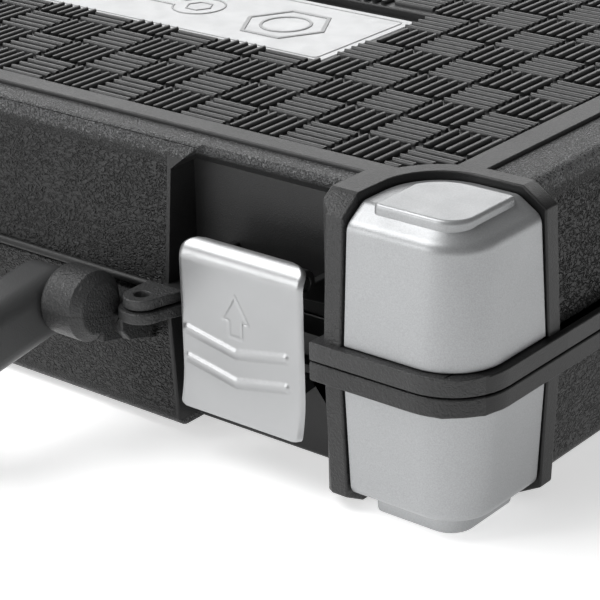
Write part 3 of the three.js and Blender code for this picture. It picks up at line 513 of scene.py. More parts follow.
def keep_node(node, finish, width=0.0, segments=2):
    """Dresses a CAD node that stays: its finish, rounded edges and smooth shading."""
    piece = frame["nodes"][node]
    for slot in piece.material_slots:
        slot.material = FINISHES[finish]
    weld = piece.modifiers.new("weld", "WELD")
    weld.merge_threshold = MERGE_DISTANCE * MM
    if width:
        flat = piece.modifiers.new("flat", "DECIMATE")
        flat.decimate_type = "DISSOLVE"
        flat.angle_limit = math.radians(1)
        bevel = piece.modifiers.new("bevel", "BEVEL")
        bevel.width = width * MM
        bevel.segments = segments
        bevel.limit_method = "ANGLE"
        bevel.angle_limit = math.radians(SHARP_ANGLE)
        bevel.use_clamp_overlap = True
    finish_shading(piece)


def add_piece(name, bm, finish, body, transform=CASE):
    """Turns a finished bmesh, drawn in millimetres about the case's centre, into a piece."""
    bm.transform(transform)
    mesh = bpy.data.meshes.new(name)
    bm.to_mesh(mesh)
    bm.free()
    mesh.materials.append(FINISHES[finish])
    piece = bpy.data.objects.new(name, mesh)
    bpy.context.scene.collection.objects.link(piece)
    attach(piece, body)
    return piece


def add_ring(bm, points):
    return [bm.verts.new(point) for point in points]


def bridge(bm, first, second, closed=True):
    count = len(first)
    for i in range(count if closed else count - 1):
        j = (i + 1) % count
        bm.faces.new((first[i], first[j], second[j], second[i]))


def loft(bm, rings):
    """Skins a row of rings and caps both of its ends."""
    for first, second in zip(rings, rings[1:]):
        bridge(bm, first, second)
    bm.faces.new(rings[0])
    bm.faces.new(rings[-1])


def inset_loop(points, distance):
    """A closed plan loop moved inwards by a distance, mitred at its corners."""
    area = sum(p[0] * q[1] - q[0] * p[1] for p, q in zip(points, points[1:] + points[:1]))
    turn = 1 if area > 0 else -1
    moved = []
    for i, point in enumerate(points):
        before = Vector(points[i - 1])
        here = Vector(point)
        after = Vector(points[(i + 1) % len(points)])
        first = (here - before).normalized()
        second = (after - here).normalized()
        normal_1 = Vector((-first.y, first.x)) * turn
        normal_2 = Vector((-second.y, second.x)) * turn
        half = normal_1 + normal_2
        moved.append(here + half * (distance / max(half.dot(normal_1), 0.3)))
    return moved


def arc(centre_x, centre_y, radius, start, end, steps):
    points = []
    for i in range(steps + 1):
        angle = math.radians(start + (end - start) * i / steps)
        points.append((centre_x + radius * math.cos(angle), centre_y + radius * math.sin(angle)))
    return points


def rounded_rectangle(x0, y0, x1, y1, radius, steps=5):
    return (
        arc(x1 - radius, y0 + radius, radius, -90, 0, steps)
        + arc(x1 - radius, y1 - radius, radius, 0, 90, steps)
        + arc(x0 + radius, y1 - radius, radius, 90, 180, steps)
        + arc(x0 + radius, y0 + radius, radius, 180, 270, steps)
    )


def raised_pad(bm, outline, profile):
    """A closed slab over a plan outline: profile is (inset, z) from the bottom ring to the top."""
    rings = []
    for inset, z in profile:
        rings.append(add_ring(bm, [(p[0], p[1], z) for p in inset_loop(outline, inset)]))
    for lower, upper in zip(rings, rings[1:]):
        bridge(bm, lower, upper)
    bm.faces.new(rings[0])
    bm.faces.new(rings[-1])


# ---------------------------------------------------------------- case shells


# How far an edge's middle may lie from the place that is looked for.
NEAR_CROWN = 0.4
NEAR_FACE = 0.6
NEAR_BAND = 0.15
BAND_STEP = 0.9
BOSS_ROOT = 3
BOSS_SPARE = 0.3
BOSS_EYE = 7
BOSS_REAR = 8


def is_corner(edge, angle=SHARP_ANGLE):
    if not edge.is_manifold or not edge.is_convex:
        return False
    return edge.calc_face_angle(0) > math.radians(angle)


def edge_place(edge):
    """Middle of an edge in case millimetres: across, along, height over the parting plane."""
    middle = (edge.verts[0].co + edge.verts[1].co) / 2
    return (middle.x / MM, (middle.y - CENTRE_Y) / MM, middle.z / MM - PARTING)


def on_wall_crown(edge):
    x, y, h = edge_place(edge)
    half = 1 if h > 0 else -1
    if abs(abs(h) - MARGIN_HEIGHT[half]) > NEAR_CROWN:
        return False
    front = abs(abs(y) - WALL_TOP_Y[half]) < NEAR_FACE and abs(x) < RIM_X
    flank = abs(abs(x) - WALL_TOP_X[half]) < NEAR_FACE and abs(y) < RIM_Y
    return front or flank


def on_recess_jamb(edge):
    x, y, h = edge_place(edge)
    rise = abs(edge.verts[0].co.z - edge.verts[1].co.z) > 0.6 * edge.calc_length()
    jamb = max(RECESS_X0, RECESS_X0 - 1 + RECESS_CORNER_SLOPE * (h - RECESS_CORNER_H))
    in_wall = WALL_TOP_Y[1] - NEAR_FACE < -y < WALL_Y + NEAR_CROWN
    return rise and in_wall and h > 0 and abs(abs(x) - jamb) < NEAR_FACE


def on_band(edge):
    x, y, h = edge_place(edge)
    rim = abs(abs(h) - BAND_HEIGHT) < NEAR_BAND
    return rim and (abs(x) > SKIN_X + BAND_STEP or abs(y) > SKIN_Y + BAND_STEP)


def on_boss(edge):
    x, y, h = edge_place(edge)
    radius = math.hypot(y - HANDLE_PIVOT_Y, h - HANDLE_PIVOT_H)
    outer = BOSS_X1 - BOSS_ROOT < abs(x) < BOSS_X1 + BOSS_SPARE
    return outer and radius > BOSS_EYE and y < HANDLE_PIVOT_Y + BOSS_REAR


# The test that finds each kind of edge, with its width in millimetres and its segments.
WIDE_EDGES = ((on_wall_crown, 3.4, 6), (on_recess_jamb, 2.2, 5), (on_band, 1.1, 3), (on_boss, 1.2, 3))


def round_edges(bm, edges, width, segments, clamp):
    bmesh.ops.bevel(
        bm,
        geom=edges,
        offset=width * MM,
        segments=segments,
        profile=0.5,
        affect="EDGES",
        clamp_overlap=clamp,
    )


def replace_shell(node, body):
    """The node's own solid with its edges rounded: broad on the crown, fine elsewhere."""
    bm = bmesh.new()
    bm.from_mesh(frame["nodes"][node].data)
    bmesh.ops.remove_doubles(bm, verts=bm.verts, dist=MERGE_DISTANCE * MM)
    flat = math.radians(FLAT_ANGLE)
    bmesh.ops.dissolve_limit(bm, angle_limit=flat, verts=bm.verts, edges=bm.edges)
    for test, width, segments in WIDE_EDGES:
        chosen = [edge for edge in bm.edges if is_corner(edge, WIDE_EDGE_ANGLE) and test(edge)]
        round_edges(bm, chosen, width, segments, True)
    shortest = SHORTEST_EDGE * MM
    chosen = [edge for edge in bm.edges if is_corner(edge) and edge.calc_length() > shortest]
    round_edges(bm, chosen, FINE_ROUND, 3, False)
    piece = add_piece(f"{node}_moulding", bm, "black_shell", body, transform=Matrix.Identity(4))
    finish_shading(piece)
    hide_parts(node)


replace_shell("lid_shell", "lid")
replace_shell("base_shell", "base")

# ---------------------------------------------------------------- ribbed panel


def in_corner(x, y, spare):
    """True where the lid's corner rims, or the room beside them, cover a point of the field."""
    a = abs(x) - FIELD_X
    b = abs(y) - FIELD_Y
    edge_a = RIM_ARC_A - RIM_ARC_RADIUS
    edge_b = RIM_ARC_B - RIM_ARC_RADIUS
    if a < edge_a - spare or b < edge_b - spare:
        return False
    if a > RIM_ARC_A or b > RIM_ARC_B:
        return True
    return math.hypot(a - RIM_ARC_A, b - RIM_ARC_B) < RIM_ARC_RADIUS + spare


def in_badge(x, y, spare):
    """True where the badge's recess, or the room beside it, covers a point of the field."""
    inside_x = abs(x) < BADGE_ROOM_X + spare
    return inside_x and BADGE_ROOM_Y0 - spare < y < BADGE_ROOM_Y1 + spare


def free_span(x, y, half, along_x, width):
    """The longest stretch of a rib, as offsets along it, that is clear of badge and rims."""
    steps = RIB_PROBES
    best = (0.0, 0.0)
    start = None
    for i in range(steps + 2):
        offset = -half + 2 * half * i / steps
        px, py = (x + offset, y) if along_x else (x, y + offset)
        clear = i <= steps and not in_badge(px, py, 0) and not in_corner(px, py, width * 0.4)
        if clear and start is None:
            start = offset
        if not clear and start is not None:
            last = offset - 2 * half / steps
            if last - start > best[1] - best[0]:
                best = (start, last)
            start = None
    return best


def add_rib(bm, x, y, start, end, along_x):
    """One round-ended bar of the weave, widest at its foot."""
    floor = PARTING + PANEL_HEIGHT
    rings = []
    for width, rise in RIB_RINGS:
        loop = arc(end - width, 0, width, -90, 90, RIB_END_STEPS)
        loop += arc(start + width, 0, width, 90, 270, RIB_END_STEPS)
        if along_x:
            points = [(x + p[0], y + p[1], floor + rise) for p in loop]
        else:
            points = [(x - p[1], y + p[0], floor + rise) for p in loop]
        rings.append(add_ring(bm, points))
    for lower, upper in zip(rings, rings[1:]):
        bridge(bm, lower, upper)
    bm.faces.new(rings[-1])


def make_ribs():
    """The whole weave, tile by tile, as one piece."""
    bm = bmesh.new()
    pitch_x = 2 * FIELD_X / TILES_X
    pitch_y = 2 * FIELD_Y / TILES_Y
    widest = RIB_RINGS[0][0]
    for i in range(TILES_X):
        for j in range(TILES_Y):
            centre_x = FIELD_X - (i + 0.5) * pitch_x
            centre_y = -FIELD_Y + (j + 0.5) * pitch_y
            along_x = (i + j) % 2 == 0
            length, across = (pitch_x, pitch_y) if along_x else (pitch_y, pitch_x)
            half = length * (0.5 - RIB_MARGIN)
            for k in range(RIBS_PER_TILE):
                shift = ((k + 0.5) / RIBS_PER_TILE - 0.5) * across
                x = centre_x if along_x else centre_x + shift
                y = centre_y + shift if along_x else centre_y
                start, end = free_span(x, y, half, along_x, widest)
                if end - start > RIB_SHORTEST:
                    add_rib(bm, x, y, start, end, along_x)
    piece = add_piece("lid_ribs", bm, "rib_plastic", "lid")
    finish_shading(piece)


make_ribs()

# ---------------------------------------------------------------- corner guards

GUARD_A0 = -7
GUARD_B0 = -6
GUARD_BEND = 16
SKIN_A = 29.6
SKIN_B = 27.7
SKIN_RADIUS = 15
GUARD_HEIGHTS = {1: (36.0, 40.2, 41.2), -1: (34.5, 38.0, 40.3)}
GUARD_SINK = 0.7
GUARD_DRAFT = 1.8
GUARD_SLOPE = 6.7
GUARD_SHEET = 2.4
GUARD_EDGE = 0.35
GUARD_EDGE_STEPS = 4
GUARD_EDGE_ANGLE = 50
PAD_ROOT = 3.4
PAD_EDGE = ((0.1, 1.1), (0.3, 0.5), (0.62, 0.14), (1.1, 0))
PAD_SIDE_END = (20.9, -1.3)
PAD_FRONT_END = (-1.0, 19.7)
PAD_END_RADIUS = 1.5
PAD_CORNER = (15.4, 14.2)
PAD_CORNER_RADIUS = 7
PAD_INNER = (9, 10)
PAD_INNER_RADIUS = 12.8
SHOULDER_ROUND = 2.0
CROWN_ROUND = 1.1


def fillet(before, corner, after, length, steps):
    """Points of a soft corner between two straight stretches of a profile."""
    first = Vector(corner) + (Vector(before) - Vector(corner)).normalized() * length
    last = Vector(corner) + (Vector(after) - Vector(corner)).normalized() * length
    points = []
    for i in range(steps + 1):
        t = i / steps
        points.append(first * (1 - t) ** 2 + Vector(corner) * 2 * t * (1 - t) + last * t ** 2)
    return points


def guard_outline(inset):
    """Outer plan line of a guard from its front end, round the corner, to its side end."""
    steps = GUARD_EDGE_STEPS
    bend_a = SKIN_A - SKIN_RADIUS
    bend_b = SKIN_B - SKIN_RADIUS
    line = [(GUARD_A0 + (bend_a - GUARD_A0) * i / steps, SKIN_B - inset) for i in range(steps)]
    line += arc(bend_a, bend_b, SKIN_RADIUS - inset, 90, 0, 14)
    drop = bend_b - GUARD_B0
    line += [(SKIN_A - inset, bend_b - drop * i / steps) for i in range(1, steps + 1)]
    return line


def guard_profile(half):
    """(inset, height) points up the wall, over the shoulder and the crown to the flat."""
    shoulder, crown, _ = GUARD_HEIGHTS[half]
    foot = (GUARD_SINK, BAND_HEIGHT + 0.3)
    bend = (GUARD_SINK + GUARD_DRAFT, shoulder)
    flat = (bend[0] + GUARD_SLOPE, crown)
    inner = (flat[0] + 4, crown)
    profile = [Vector(foot), Vector(foot).lerp(Vector(bend), 0.5)]
    profile += fillet(foot, bend, flat, SHOULDER_ROUND, 8)
    profile += fillet(bend, flat, inner, CROWN_ROUND, 5)
    return profile


def make_guard(side, end, half):
    """One corner's armour: a bent sheet over wall, shoulder and crown, and its raised pad."""
    def place(a, b, h):
        return (side * (FIELD_X + a), end * (FIELD_Y + b), PARTING + half * h)

    bm = bmesh.new()
    strips = []
    for inset, height in guard_profile(half):
        strips.append(add_ring(bm, [place(a, b, height) for a, b in guard_outline(inset)]))
    for lower, upper in zip(strips, strips[1:]):
        bridge(bm, lower, upper, closed=False)
    crown = GUARD_HEIGHTS[half][1]
    inner = arc(GUARD_A0 + GUARD_BEND, GUARD_B0 + GUARD_BEND, GUARD_BEND, 270, 180, 12)
    bm.faces.new(strips[-1] + add_ring(bm, [place(a, b, crown) for a, b in inner]))
    bmesh.ops.recalc_face_normals(bm, faces=bm.faces)
    outward = sum(face.normal.z * face.calc_area() for face in bm.faces) * half
    if outward < 0:
        bmesh.ops.reverse_faces(bm, faces=bm.faces)
    name = f"{HALVES[half]}_guard_{ENDS[end]}_{SIDES[side]}"
    piece = add_piece(f"{name}_plate", bm, "silver_paint", HALVES[half])
    sheet = piece.modifiers.new("sheet", "SOLIDIFY")
    sheet.thickness = GUARD_SHEET * MM
    sheet.offset = -1
    edges = piece.modifiers.new("edges", "BEVEL")
    edges.width = GUARD_EDGE * MM
    edges.segments = 2
    edges.limit_method = "ANGLE"
    edges.angle_limit = math.radians(GUARD_EDGE_ANGLE)
    finish_shading(piece)
    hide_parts(name)

    pad = bmesh.new()
    outline = rounded_pad_outline()
    top = GUARD_HEIGHTS[half][2]
    profile = [(0, crown - PAD_ROOT)] + [(inset, top - drop) for inset, drop in PAD_EDGE]
    raised_pad(pad, outline, profile)
    for vertex in pad.verts:
        a, b, h = vertex.co
        vertex.co = place(a, b, h)
    bmesh.ops.recalc_face_normals(pad, faces=pad.faces)
    pad_piece = add_piece(f"{name}_pad", pad, "silver_paint", HALVES[half])
    finish_shading(pad_piece)


def rounded_pad_outline():
    """Plan of the raised pad: square ends, a round outer corner and the guard's inner arc."""
    line = arc(*PAD_SIDE_END, PAD_END_RADIUS, -90, 0, 3)
    line += arc(*PAD_CORNER, PAD_CORNER_RADIUS, 0, 90, 10)
    line += arc(*PAD_FRONT_END, PAD_END_RADIUS, 90, 180, 3)
    line += arc(*PAD_INNER, PAD_INNER_RADIUS, 206, 270, 9)
    return line


for guard_side in BOTH:
    for guard_end in BOTH:
        for guard_half in BOTH:
            make_guard(guard_side, guard_end, guard_half)

# ---------------------------------------------------------------- latches

LATCH_X = 132.6
LATCH_HALF = 20
LATCH_Y = -140
LATCH_H = 14.8
LATCH_ROLL = 5.6
LATCH_SHEET = 1.2
LATCH_FOOT = -25
LATCH_STEP = 0.4
LATCH_CURL = 1.5
LATCH_CURL_DEPTH = 0.9
LATCH_ROLL_ROWS = 16
LATCH_ROLL_START = 100
LATCH_TOP_RADIUS = 4.6
LATCH_FOOT_RADIUS = 1.2
FLARE_START = -13
FLARE_RUN = 12
FLARE_OUT = 1.7
MARK_X = -1.3
CHEVRON_HALF = 15.9
CHEVRON_RADIUS = 1.15
CHEVRON_REACH = CHEVRON_RADIUS * 1.25
CHEVRON_RISE = 0.62
CHEVRON_DIP = 3.0
CHEVRON_HEIGHTS = (-3.8, -11.8)
ARROW_LINE = 0.34
ARROW_DEPTH = 0.22


def segment_distance(px, py, ax, ay, bx, by):
    """How far a point lies from a straight stretch between two others."""
    dx = bx - ax
    dy = by - ay
    t = ((px - ax) * dx + (py - ay) * dy) / (dx * dx + dy * dy)
    t = min(1.0, max(0.0, t))
    return math.hypot(px - ax - t * dx, py - ay - t * dy)


def line_distance(px, py, points):
    return min(segment_distance(px, py, *first, *second) for first, second in zip(points, points[1:]))


def arrow_outline():
    tip = (0, 9.0)
    barb = 4.2
    shaft = 2.1
    neck = 2.05
    foot = -2.3
    right = [(barb, neck), (shaft, neck), (shaft, foot)]
    left = [(-x, h) for x, h in reversed(right)]
    return [tip] + right + left + [tip]


def chevron(h):
    return [(-CHEVRON_HALF, h), (0, h - CHEVRON_DIP), (CHEVRON_HALF, h)]


def latch_relief(x, h):
    """How far the pressed marks stand proud of the latch's face."""
    u = x - MARK_X
    rise = 0.0
    for height in CHEVRON_HEIGHTS:
        near = line_distance(u, h, chevron(height)) / CHEVRON_REACH
        if near < 1:
            rise = max(rise, CHEVRON_RISE * (1 - near * near) ** 0.8)
    near = line_distance(u, h, arrow_outline()) / ARROW_LINE
    if near < 1:
        rise -= ARROW_DEPTH * (1 - near * near)
    return rise


def latch_profile():
    """(y, h, outward y, outward h) down the face of a latch from the rolled top edge."""
    points = []
    for i in range(LATCH_ROLL_ROWS):
        angle = math.radians(LATCH_ROLL_START + (180 - LATCH_ROLL_START) * i / LATCH_ROLL_ROWS)
        outward = (math.cos(angle), math.sin(angle))
        points.append((LATCH_ROLL * outward[0], LATCH_H + LATCH_ROLL * outward[1], *outward))
    rows = round((LATCH_H - LATCH_FOOT) / LATCH_STEP)
    for i in range(rows + 1):
        h = LATCH_H + (LATCH_FOOT - LATCH_H) * i / rows
        flare = max(0.0, (FLARE_START - h) / FLARE_RUN) ** 2 * FLARE_OUT
        points.append((-LATCH_ROLL - flare, h, -1.0, 0.0))
    return points


def corner_cut(distance, radius):
    """How much a corner of the given radius narrows the edge, that far from its end."""
    if distance >= radius:
        return 0.0
    return radius - math.sqrt(max(0.0, radius * radius - (radius - distance) ** 2))


def make_latch(side):
    """The pressed face of a latch: a fine grid that carries the marks, given a thickness."""
    bm = bmesh.new()
    columns = round(2 * LATCH_HALF / LATCH_STEP)
    profile = latch_profile()
    travelled = 0.0
    lengths = [0.0]
    for first, second in zip(profile, profile[1:]):
        travelled += math.hypot(second[0] - first[0], second[1] - first[1])
        lengths.append(travelled)
    strips = []
    for (y, h, out_y, out_h), done in zip(profile, lengths):
        left = travelled - done
        half = LATCH_HALF - corner_cut(done, LATCH_TOP_RADIUS) - corner_cut(left, LATCH_FOOT_RADIUS)
        row = []
        for i in range(columns + 1):
            x = -half + 2 * half * i / columns
            edge = half - abs(x)
            curl = LATCH_CURL_DEPTH * max(0.0, 1 - edge / LATCH_CURL) ** 2
            rise = latch_relief(x, h) - curl
            row.append((side * LATCH_X + x, LATCH_Y + y + out_y * rise, PARTING + h + out_h * rise))
        strips.append(add_ring(bm, row))
    for lower, upper in zip(strips, strips[1:]):
        bridge(bm, lower, upper, closed=False)
    bmesh.ops.recalc_face_normals(bm, faces=bm.faces)
    if sum(face.normal.y for face in bm.faces) > 0:
        bmesh.ops.reverse_faces(bm, faces=bm.faces)
    name = f"latch_plate_{SIDES[side]}"
    piece = add_piece(f"{name}_pressing", bm, "satin_metal", f"latch_{SIDES[side]}")
    sheet = piece.modifiers.new("sheet", "SOLIDIFY")
    sheet.thickness = LATCH_SHEET * MM
    sheet.offset = -1
    finish_shading(piece)
    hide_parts(name)


for latch_side in BOTH:
    make_latch(latch_side)
    keep_node(f"latch_lever_{SIDES[latch_side]}", "black_smooth", 0.5)
    keep_node(f"latch_pin_{SIDES[latch_side]}", "steel", 0.25)
    keep_node(f"hinge_pin_{SIDES[latch_side]}", "steel", 0.3)

# ---------------------------------------------------------------- handle

HANDLE_OUTER = 81
HANDLE_INNER = 65
HANDLE_REACH = 47
HANDLE_DEPTH = 19
HANDLE_TAIL = 8
HANDLE_FRONT = HANDLE_PIVOT_Y - HANDLE_REACH
HANDLE_BACK = HANDLE_FRONT + HANDLE_DEPTH
HANDLE_TOP = 7
HANDLE_UNDER = 11
HANDLE_CORNER = 16
HANDLE_THROAT = 6
SECTION_ROUND = 5.2
HANDLE_DROOP = 9
HANDLE_END_ANGLE = 88
HANDLE_TIP = 0.12
HANDLE_END_STEPS = 6
HANDLE_ARM_STEPS = 5
HANDLE_BAR_STEPS = 7


def section(half_width, half_height, radius):
    """A rounded rectangle as (across, up) points."""
    radius = min(radius, half_width * 0.98, half_height * 0.98)
    return rounded_rectangle(-half_width, -half_height, half_width, half_height, radius, 5)


def make_handle():
    """Lofts the handle from one arm's end, round both bends, to the other arm's end."""
    bm = bmesh.new()
    stations = []
    for i in range(HANDLE_END_STEPS + 1):
        angle = math.radians(HANDLE_END_ANGLE * (1 - i / HANDLE_END_STEPS))
        y = HANDLE_PIVOT_Y + HANDLE_TAIL * math.sin(angle)
        squeeze = max(HANDLE_TIP, math.cos(angle))
        stations.append(((-HANDLE_OUTER, y), (-HANDLE_INNER, y), squeeze))
    for i in range(1, HANDLE_ARM_STEPS):
        outer_run = HANDLE_FRONT + HANDLE_CORNER - HANDLE_PIVOT_Y
        inner_run = HANDLE_BACK + HANDLE_THROAT - HANDLE_PIVOT_Y
        y_outer = HANDLE_PIVOT_Y + outer_run * i / HANDLE_ARM_STEPS
        y_inner = HANDLE_PIVOT_Y + inner_run * i / HANDLE_ARM_STEPS
        stations.append(((-HANDLE_OUTER, y_outer), (-HANDLE_INNER, y_inner), 1.0))
    outer_x = -HANDLE_OUTER + HANDLE_CORNER
    inner_x = -HANDLE_INNER + HANDLE_THROAT
    outer = arc(outer_x, HANDLE_FRONT + HANDLE_CORNER, HANDLE_CORNER, 180, 270, 10)
    inner = arc(inner_x, HANDLE_BACK + HANDLE_THROAT, HANDLE_THROAT, 180, 270, 10)
    stations += [(far, near, 1.0) for far, near in zip(outer, inner)]
    for i in range(1, HANDLE_BAR_STEPS + 1):
        left = 1 - i / HANDLE_BAR_STEPS
        stations.append(((outer_x * left, HANDLE_FRONT), (inner_x * left, HANDLE_BACK), 1.0))
    mirrored = []
    for far, near, tall in reversed(stations[:-1]):
        mirrored.append(((-far[0], far[1]), (-near[0], near[1]), tall))
    stations += mirrored
    height = (HANDLE_TOP + HANDLE_UNDER) / 2
    middle_z = PARTING + HANDLE_PIVOT_H + (HANDLE_TOP - HANDLE_UNDER) / 2
    rings = []
    for far, near, tall in stations:
        across = Vector(far) - Vector(near)
        centre = (Vector(far) + Vector(near)) / 2
        direction = across.normalized()
        ring = []
        for offset, up in section(across.length / 2, height * tall, SECTION_ROUND):
            point = centre + direction * offset
            ring.append((point.x, point.y, middle_z + up))
        rings.append(add_ring(bm, ring))
    loft(bm, rings)
    pivot = Vector((0, HANDLE_PIVOT_Y, PARTING + HANDLE_PIVOT_H))
    droop = Matrix.Rotation(math.radians(HANDLE_DROOP), 3, "X")
    bmesh.ops.rotate(bm, cent=pivot, matrix=droop, verts=bm.verts)
    bmesh.ops.recalc_face_normals(bm, faces=bm.faces)
    piece = add_piece("carry_handle_grip", bm, "handle_plastic", "handle")
    finish_shading(piece)
    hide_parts("carry_handle")


make_handle()

# ---------------------------------------------------------------- badge, tray and tools

keep_node("badge_plate", "badge_metal", 0.3, 3)


def raised_line(bm, outline, width, z0, z1):
    """A closed raised line along a plan outline, with its top edges eased."""
    round_off = min(0.12, width * 0.25)
    rings = []
    outer = ((0, z0), (0, z1 - round_off), (round_off, z1))
    inner = tuple((width - inset, z) for inset, z in reversed(outer))
    for inset, z in outer + inner:
        rings.append(add_ring(bm, [(p[0], p[1], z) for p in inset_loop(outline, inset)]))
    for lower, upper in zip(rings, rings[1:] + rings[:1]):
        bridge(bm, lower, upper)
    bmesh.ops.recalc_face_normals(bm, faces=bm.faces)


def polygon(centre_x, centre_y, radius, sides):
    return arc(centre_x, centre_y, radius, 0, 360 - 360 / sides, sides - 1)


NUT_X = 60
NUT_RADIUS = 14.5
NUT_BORE = 8
JAW_X = -62
JAW_RADIUS = 11
JAW_THROAT_X = -66
JAW_THROAT_HALF = 1.5
RING_X = 26
RING_RADIUS = 8.5
RING_BORE = 4.6
SHANK_X0 = -40
SHANK_X1 = 18
SHANK_HALF = 3.2
BORDER_INSET = 2.4
MARK_ROOT = -0.05
BORDER_HEIGHT = 0.16
NUT_HEIGHT = 0.22
SPANNER_HEIGHT = 0.2


def spanner_outline(middle):
    """An open jaw at the left, a straight shank and a ring at the right."""
    line = arc(JAW_X, middle, JAW_RADIUS, 22, 158, 14)
    line += [(JAW_THROAT_X, middle + JAW_THROAT_HALF), (JAW_THROAT_X, middle - JAW_THROAT_HALF)]
    line += arc(JAW_X, middle, JAW_RADIUS, 202, 338, 14)
    line += [(SHANK_X0, middle - SHANK_HALF), (SHANK_X1, middle - SHANK_HALF)]
    line += arc(RING_X, middle, RING_RADIUS, -158, 158, 22)
    line += [(SHANK_X1, middle + SHANK_HALF), (SHANK_X0, middle + SHANK_HALF)]
    return line


def make_badge_marks():
    """Generic marks: a plain border, a nut and an open-ended spanner."""
    low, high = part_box("badge_plate")
    top = high.z / MM
    root = top + MARK_ROOT
    x1 = high.x / MM - BORDER_INSET
    y0 = (low.y - CENTRE_Y) / MM
    y1 = (high.y - CENTRE_Y) / MM
    middle = (y0 + y1) / 2
    bm = bmesh.new()
    border = rounded_rectangle(-x1, y0 + BORDER_INSET, x1, y1 - BORDER_INSET, 2)
    raised_line(bm, border, 0.5, root, top + BORDER_HEIGHT)
    raised_line(bm, polygon(NUT_X, middle, NUT_RADIUS, 6), 1.3, root, top + NUT_HEIGHT)
    raised_line(bm, polygon(NUT_X, middle, NUT_BORE, 40), 1.0, root, top + NUT_HEIGHT)
    raised_line(bm, spanner_outline(middle), 0.7, root, top + SPANNER_HEIGHT)
    raised_line(bm, polygon(RING_X, middle, RING_BORE, 6), 0.6, root, top + SPANNER_HEIGHT)
    piece = add_piece("badge_marks", bm, "badge_ink", "lid")
    finish_shading(piece)


make_badge_marks()


BEAD_RADIUS = 1.15
BEAD_HEIGHT = 1.5
BEAD_PROUD = 0.15
BEAD_ENDS = ((0, 0.3), (0.4, 0.85), (1.2, 1.0))


def make_lid_bead():
    """The rounded bead along the lid's front lip, between the latch recesses."""
    bm = bmesh.new()
    reach = RECESS_X0 + 0.6
    rings = []
    stations = [(-reach + gap, scale) for gap, scale in BEAD_ENDS]
    stations += [(reach - gap, scale) for gap, scale in reversed(BEAD_ENDS)]
    for x, scale in stations:
        loop = arc(-WALL_Y - BEAD_PROUD, PARTING + BEAD_HEIGHT, BEAD_RADIUS * scale, 0, 337.5, 15)
        rings.append(add_ring(bm, [(x, y, z) for y, z in loop]))
    loft(bm, rings)
    bmesh.ops.recalc_face_normals(bm, faces=bm.faces)
    # The bead's extra-dark plastic is painted shade.
    finish_shading(add_piece("lid_bead", bm, "bead_plastic_painted_shade", "lid"))


make_lid_bead()


def many_sided(angle, sides, radius, turn):
    """Distance from the middle to the side of a regular polygon, in one direction."""
    step = 2 * math.pi / sides
    part = (angle - turn) % step - step / 2
    return radius * math.cos(step / 2) / math.cos(part)


# Parts of a socket's radius and length, and the rows of its turned outline that are knurled.
SOCKET_SPOKES = 48
SOCKET_HEXAGON = 0.78
SOCKET_BAND_ENDS = (0.1, 0.12, 0.3, 0.32)
SOCKET_GROOVE = 0.3
SOCKET_FLOOR = 0.5
KNURL_ROWS = (3, 4)
KNURL_DEPTH = 0.28
HALF_INCH = 6.35
QUARTER_INCH = 3.2


def make_socket(node, square):
    """A socket with a knurled waist, a turned groove, a hexagon mouth and its square drive."""
    low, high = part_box(node)
    centre_x = (low.x + high.x) / 2 / MM
    centre_y = ((low.y + high.y) / 2 - CENTRE_Y) / MM
    radius = (high.x - low.x) / 2 / MM
    z0 = low.z / MM
    z1 = high.z / MM
    length = z1 - z0
    hexagon = radius * SOCKET_HEXAGON
    diagonal = square * math.sqrt(2)
    floor = z0 + length * SOCKET_FLOOR
    small = min(0.8, radius * 0.07)
    turn = [(radius - small, z0), (radius, z0 + small)]
    for part in SOCKET_BAND_ENDS:
        turn.append((radius, z0 + length * part))
    groove = z1 - length * SOCKET_GROOVE
    turn += [(radius, groove), (radius - small * 0.7, groove + small * 0.5)]
    turn += [(radius - small * 0.7, groove + small * 2), (radius, groove + small * 2.5)]
    turn += [(radius, z1 - small), (radius - small, z1)]
    bm = bmesh.new()
    rings = []
    for row, (ring_radius, z) in enumerate(turn):
        ring = []
        for i in range(SOCKET_SPOKES):
            angle = 2 * math.pi * i / SOCKET_SPOKES
            notch = KNURL_DEPTH if row in KNURL_ROWS and i % 2 else 0.0
            reach = ring_radius - notch
            ring.append((centre_x + reach * math.cos(angle), centre_y + reach * math.sin(angle), z))
        rings.append(add_ring(bm, ring))
    inner = ((6, hexagon * 1.06, z1 - 0.02), (6, hexagon, z1 - 0.9), (6, hexagon, floor))
    inner += ((4, diagonal, floor - 0.1), (4, diagonal, z0))
    for sides, reach, z in inner:
        ring = []
        for i in range(SOCKET_SPOKES):
            angle = 2 * math.pi * i / SOCKET_SPOKES
            distance = many_sided(angle, sides, reach, math.pi / 2 if sides == 6 else math.pi / 4)
            ring.append((centre_x + distance * math.cos(angle), centre_y + distance * math.sin(angle), z))
        rings.append(add_ring(bm, ring))
    for first, second in zip(rings, rings[1:] + rings[:1]):
        bridge(bm, first, second)
    bmesh.ops.recalc_face_normals(bm, faces=bm.faces)
    piece = add_piece(f"{node}_forging", bm, "chrome", "base")
    finish_shading(piece)
    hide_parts(node)


for socket_node in sorted(frame["nodes"]):
    if socket_node.startswith("socket_"):
        make_socket(socket_node, QUARTER_INCH if "quarter" in socket_node else HALF_INCH)


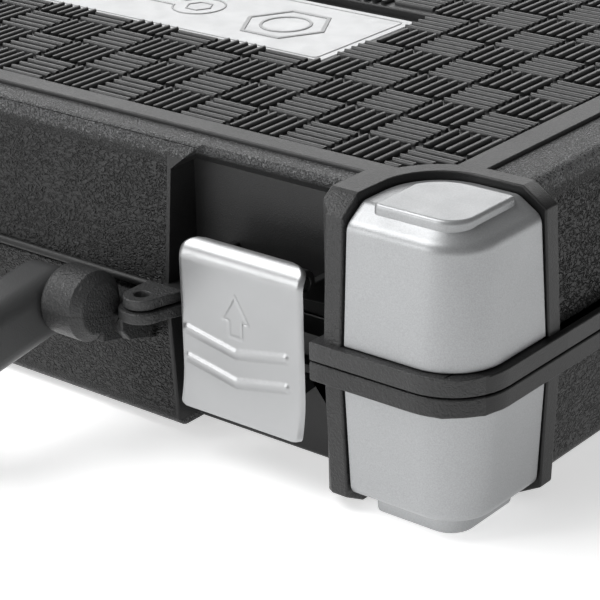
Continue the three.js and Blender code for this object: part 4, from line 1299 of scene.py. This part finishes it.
def make_grip(node, profile, flutes):
    """A fluted grip along X, from a profile as made by grip_profile."""
    low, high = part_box(node)
    x0 = low.x / MM
    length = high.x / MM - x0
    centre_y = ((low.y + high.y) / 2 - CENTRE_Y) / MM
    centre_z = (low.z + high.z) / 2 / MM
    radius = (high.z - low.z) / 2 / MM
    spokes = flutes * 8
    bm = bmesh.new()
    rings = []
    for part, size, depth in profile:
        ring = []
        for i in range(spokes):
            angle = 2 * math.pi * i / spokes
            wave = 0.5 - 0.5 * math.cos(angle * flutes)
            reach = radius * (size - depth * wave ** 2)
            y = centre_y + reach * math.cos(angle)
            ring.append((x0 + length * part, y, centre_z + reach * math.sin(angle)))
        rings.append(add_ring(bm, ring))
    loft(bm, rings)
    bmesh.ops.recalc_face_normals(bm, faces=bm.faces)
    piece = add_piece(f"{node}_moulding", bm, "grip_plastic", "base")
    finish_shading(piece)
    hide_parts(node)


# Parts of a grip's length and radius.
GRIP_STEPS = 40
GRIP_LIP = 0.03
GROOVE_DEPTH = 0.1
GROOVE_REACH = 0.02
FLUTE_DEPTH = 0.12
FLUTE_RUN_IN = 0.12
FLUTE_RUN_OUT = 0.08
NECK_EASE = 0.2
BUTT_DOME = 0.34


def ease(part, start, end):
    """Rises smoothly from zero at start to one at end."""
    t = min(1.0, max(0.0, (part - start) / (end - start)))
    return t * t * (3 - 2 * t)


def grip_profile(neck, swell_end, groove, flute_start, flute_end):
    """(part of the length, part of the radius, flute depth): a neck, a swell and a domed butt."""
    profile = []
    for i in range(GRIP_STEPS + 1):
        part = i / GRIP_STEPS
        size = neck + (1 - neck) * ease(part, 0, swell_end)
        size -= GROOVE_DEPTH * max(0.0, 1 - abs(part - groove) / GROOVE_REACH)
        dome = BUTT_DOME * ease(part, 1 - 2 * GRIP_LIP, 1) ** 2
        size *= 1 - NECK_EASE * ease(part, GRIP_LIP, 0) - dome
        fluted = ease(part, flute_start, flute_start + FLUTE_RUN_IN)
        fluted *= ease(part, flute_end, flute_end - FLUTE_RUN_OUT)
        profile.append((part, size, FLUTE_DEPTH * fluted))
    return profile


RATCHET_GRIP = grip_profile(0.8, 0.5, 0.9, 0.14, 0.88)
SPINNER_GRIP = grip_profile(0.6, 0.34, 0.16, 0.32, 0.9)
make_grip("ratchet_half_grip", RATCHET_GRIP, 8)
make_grip("ratchet_quarter_grip", RATCHET_GRIP, 8)
make_grip("spinner_grip", SPINNER_GRIP, 6)
keep_node("lid_liner", "foam", 0.8)
keep_node("tool_tray", "tray_plastic", 0.35)

CHROME_NODES = ("extension_", "spinner_shaft", "sliding_")
for node_name in frame["nodes"]:
    if node_name.startswith(CHROME_NODES):
        keep_node(node_name, "chrome", 0.35)
for size in ("half", "quarter"):
    keep_node(f"ratchet_{size}_body", "chrome", 0.5)
    keep_node(f"ratchet_{size}_drive", "steel", 0.3)
    keep_node(f"ratchet_{size}_lever", "black_smooth", 0.3)
    keep_node(f"ratchet_{size}_button", "steel", 0.3)
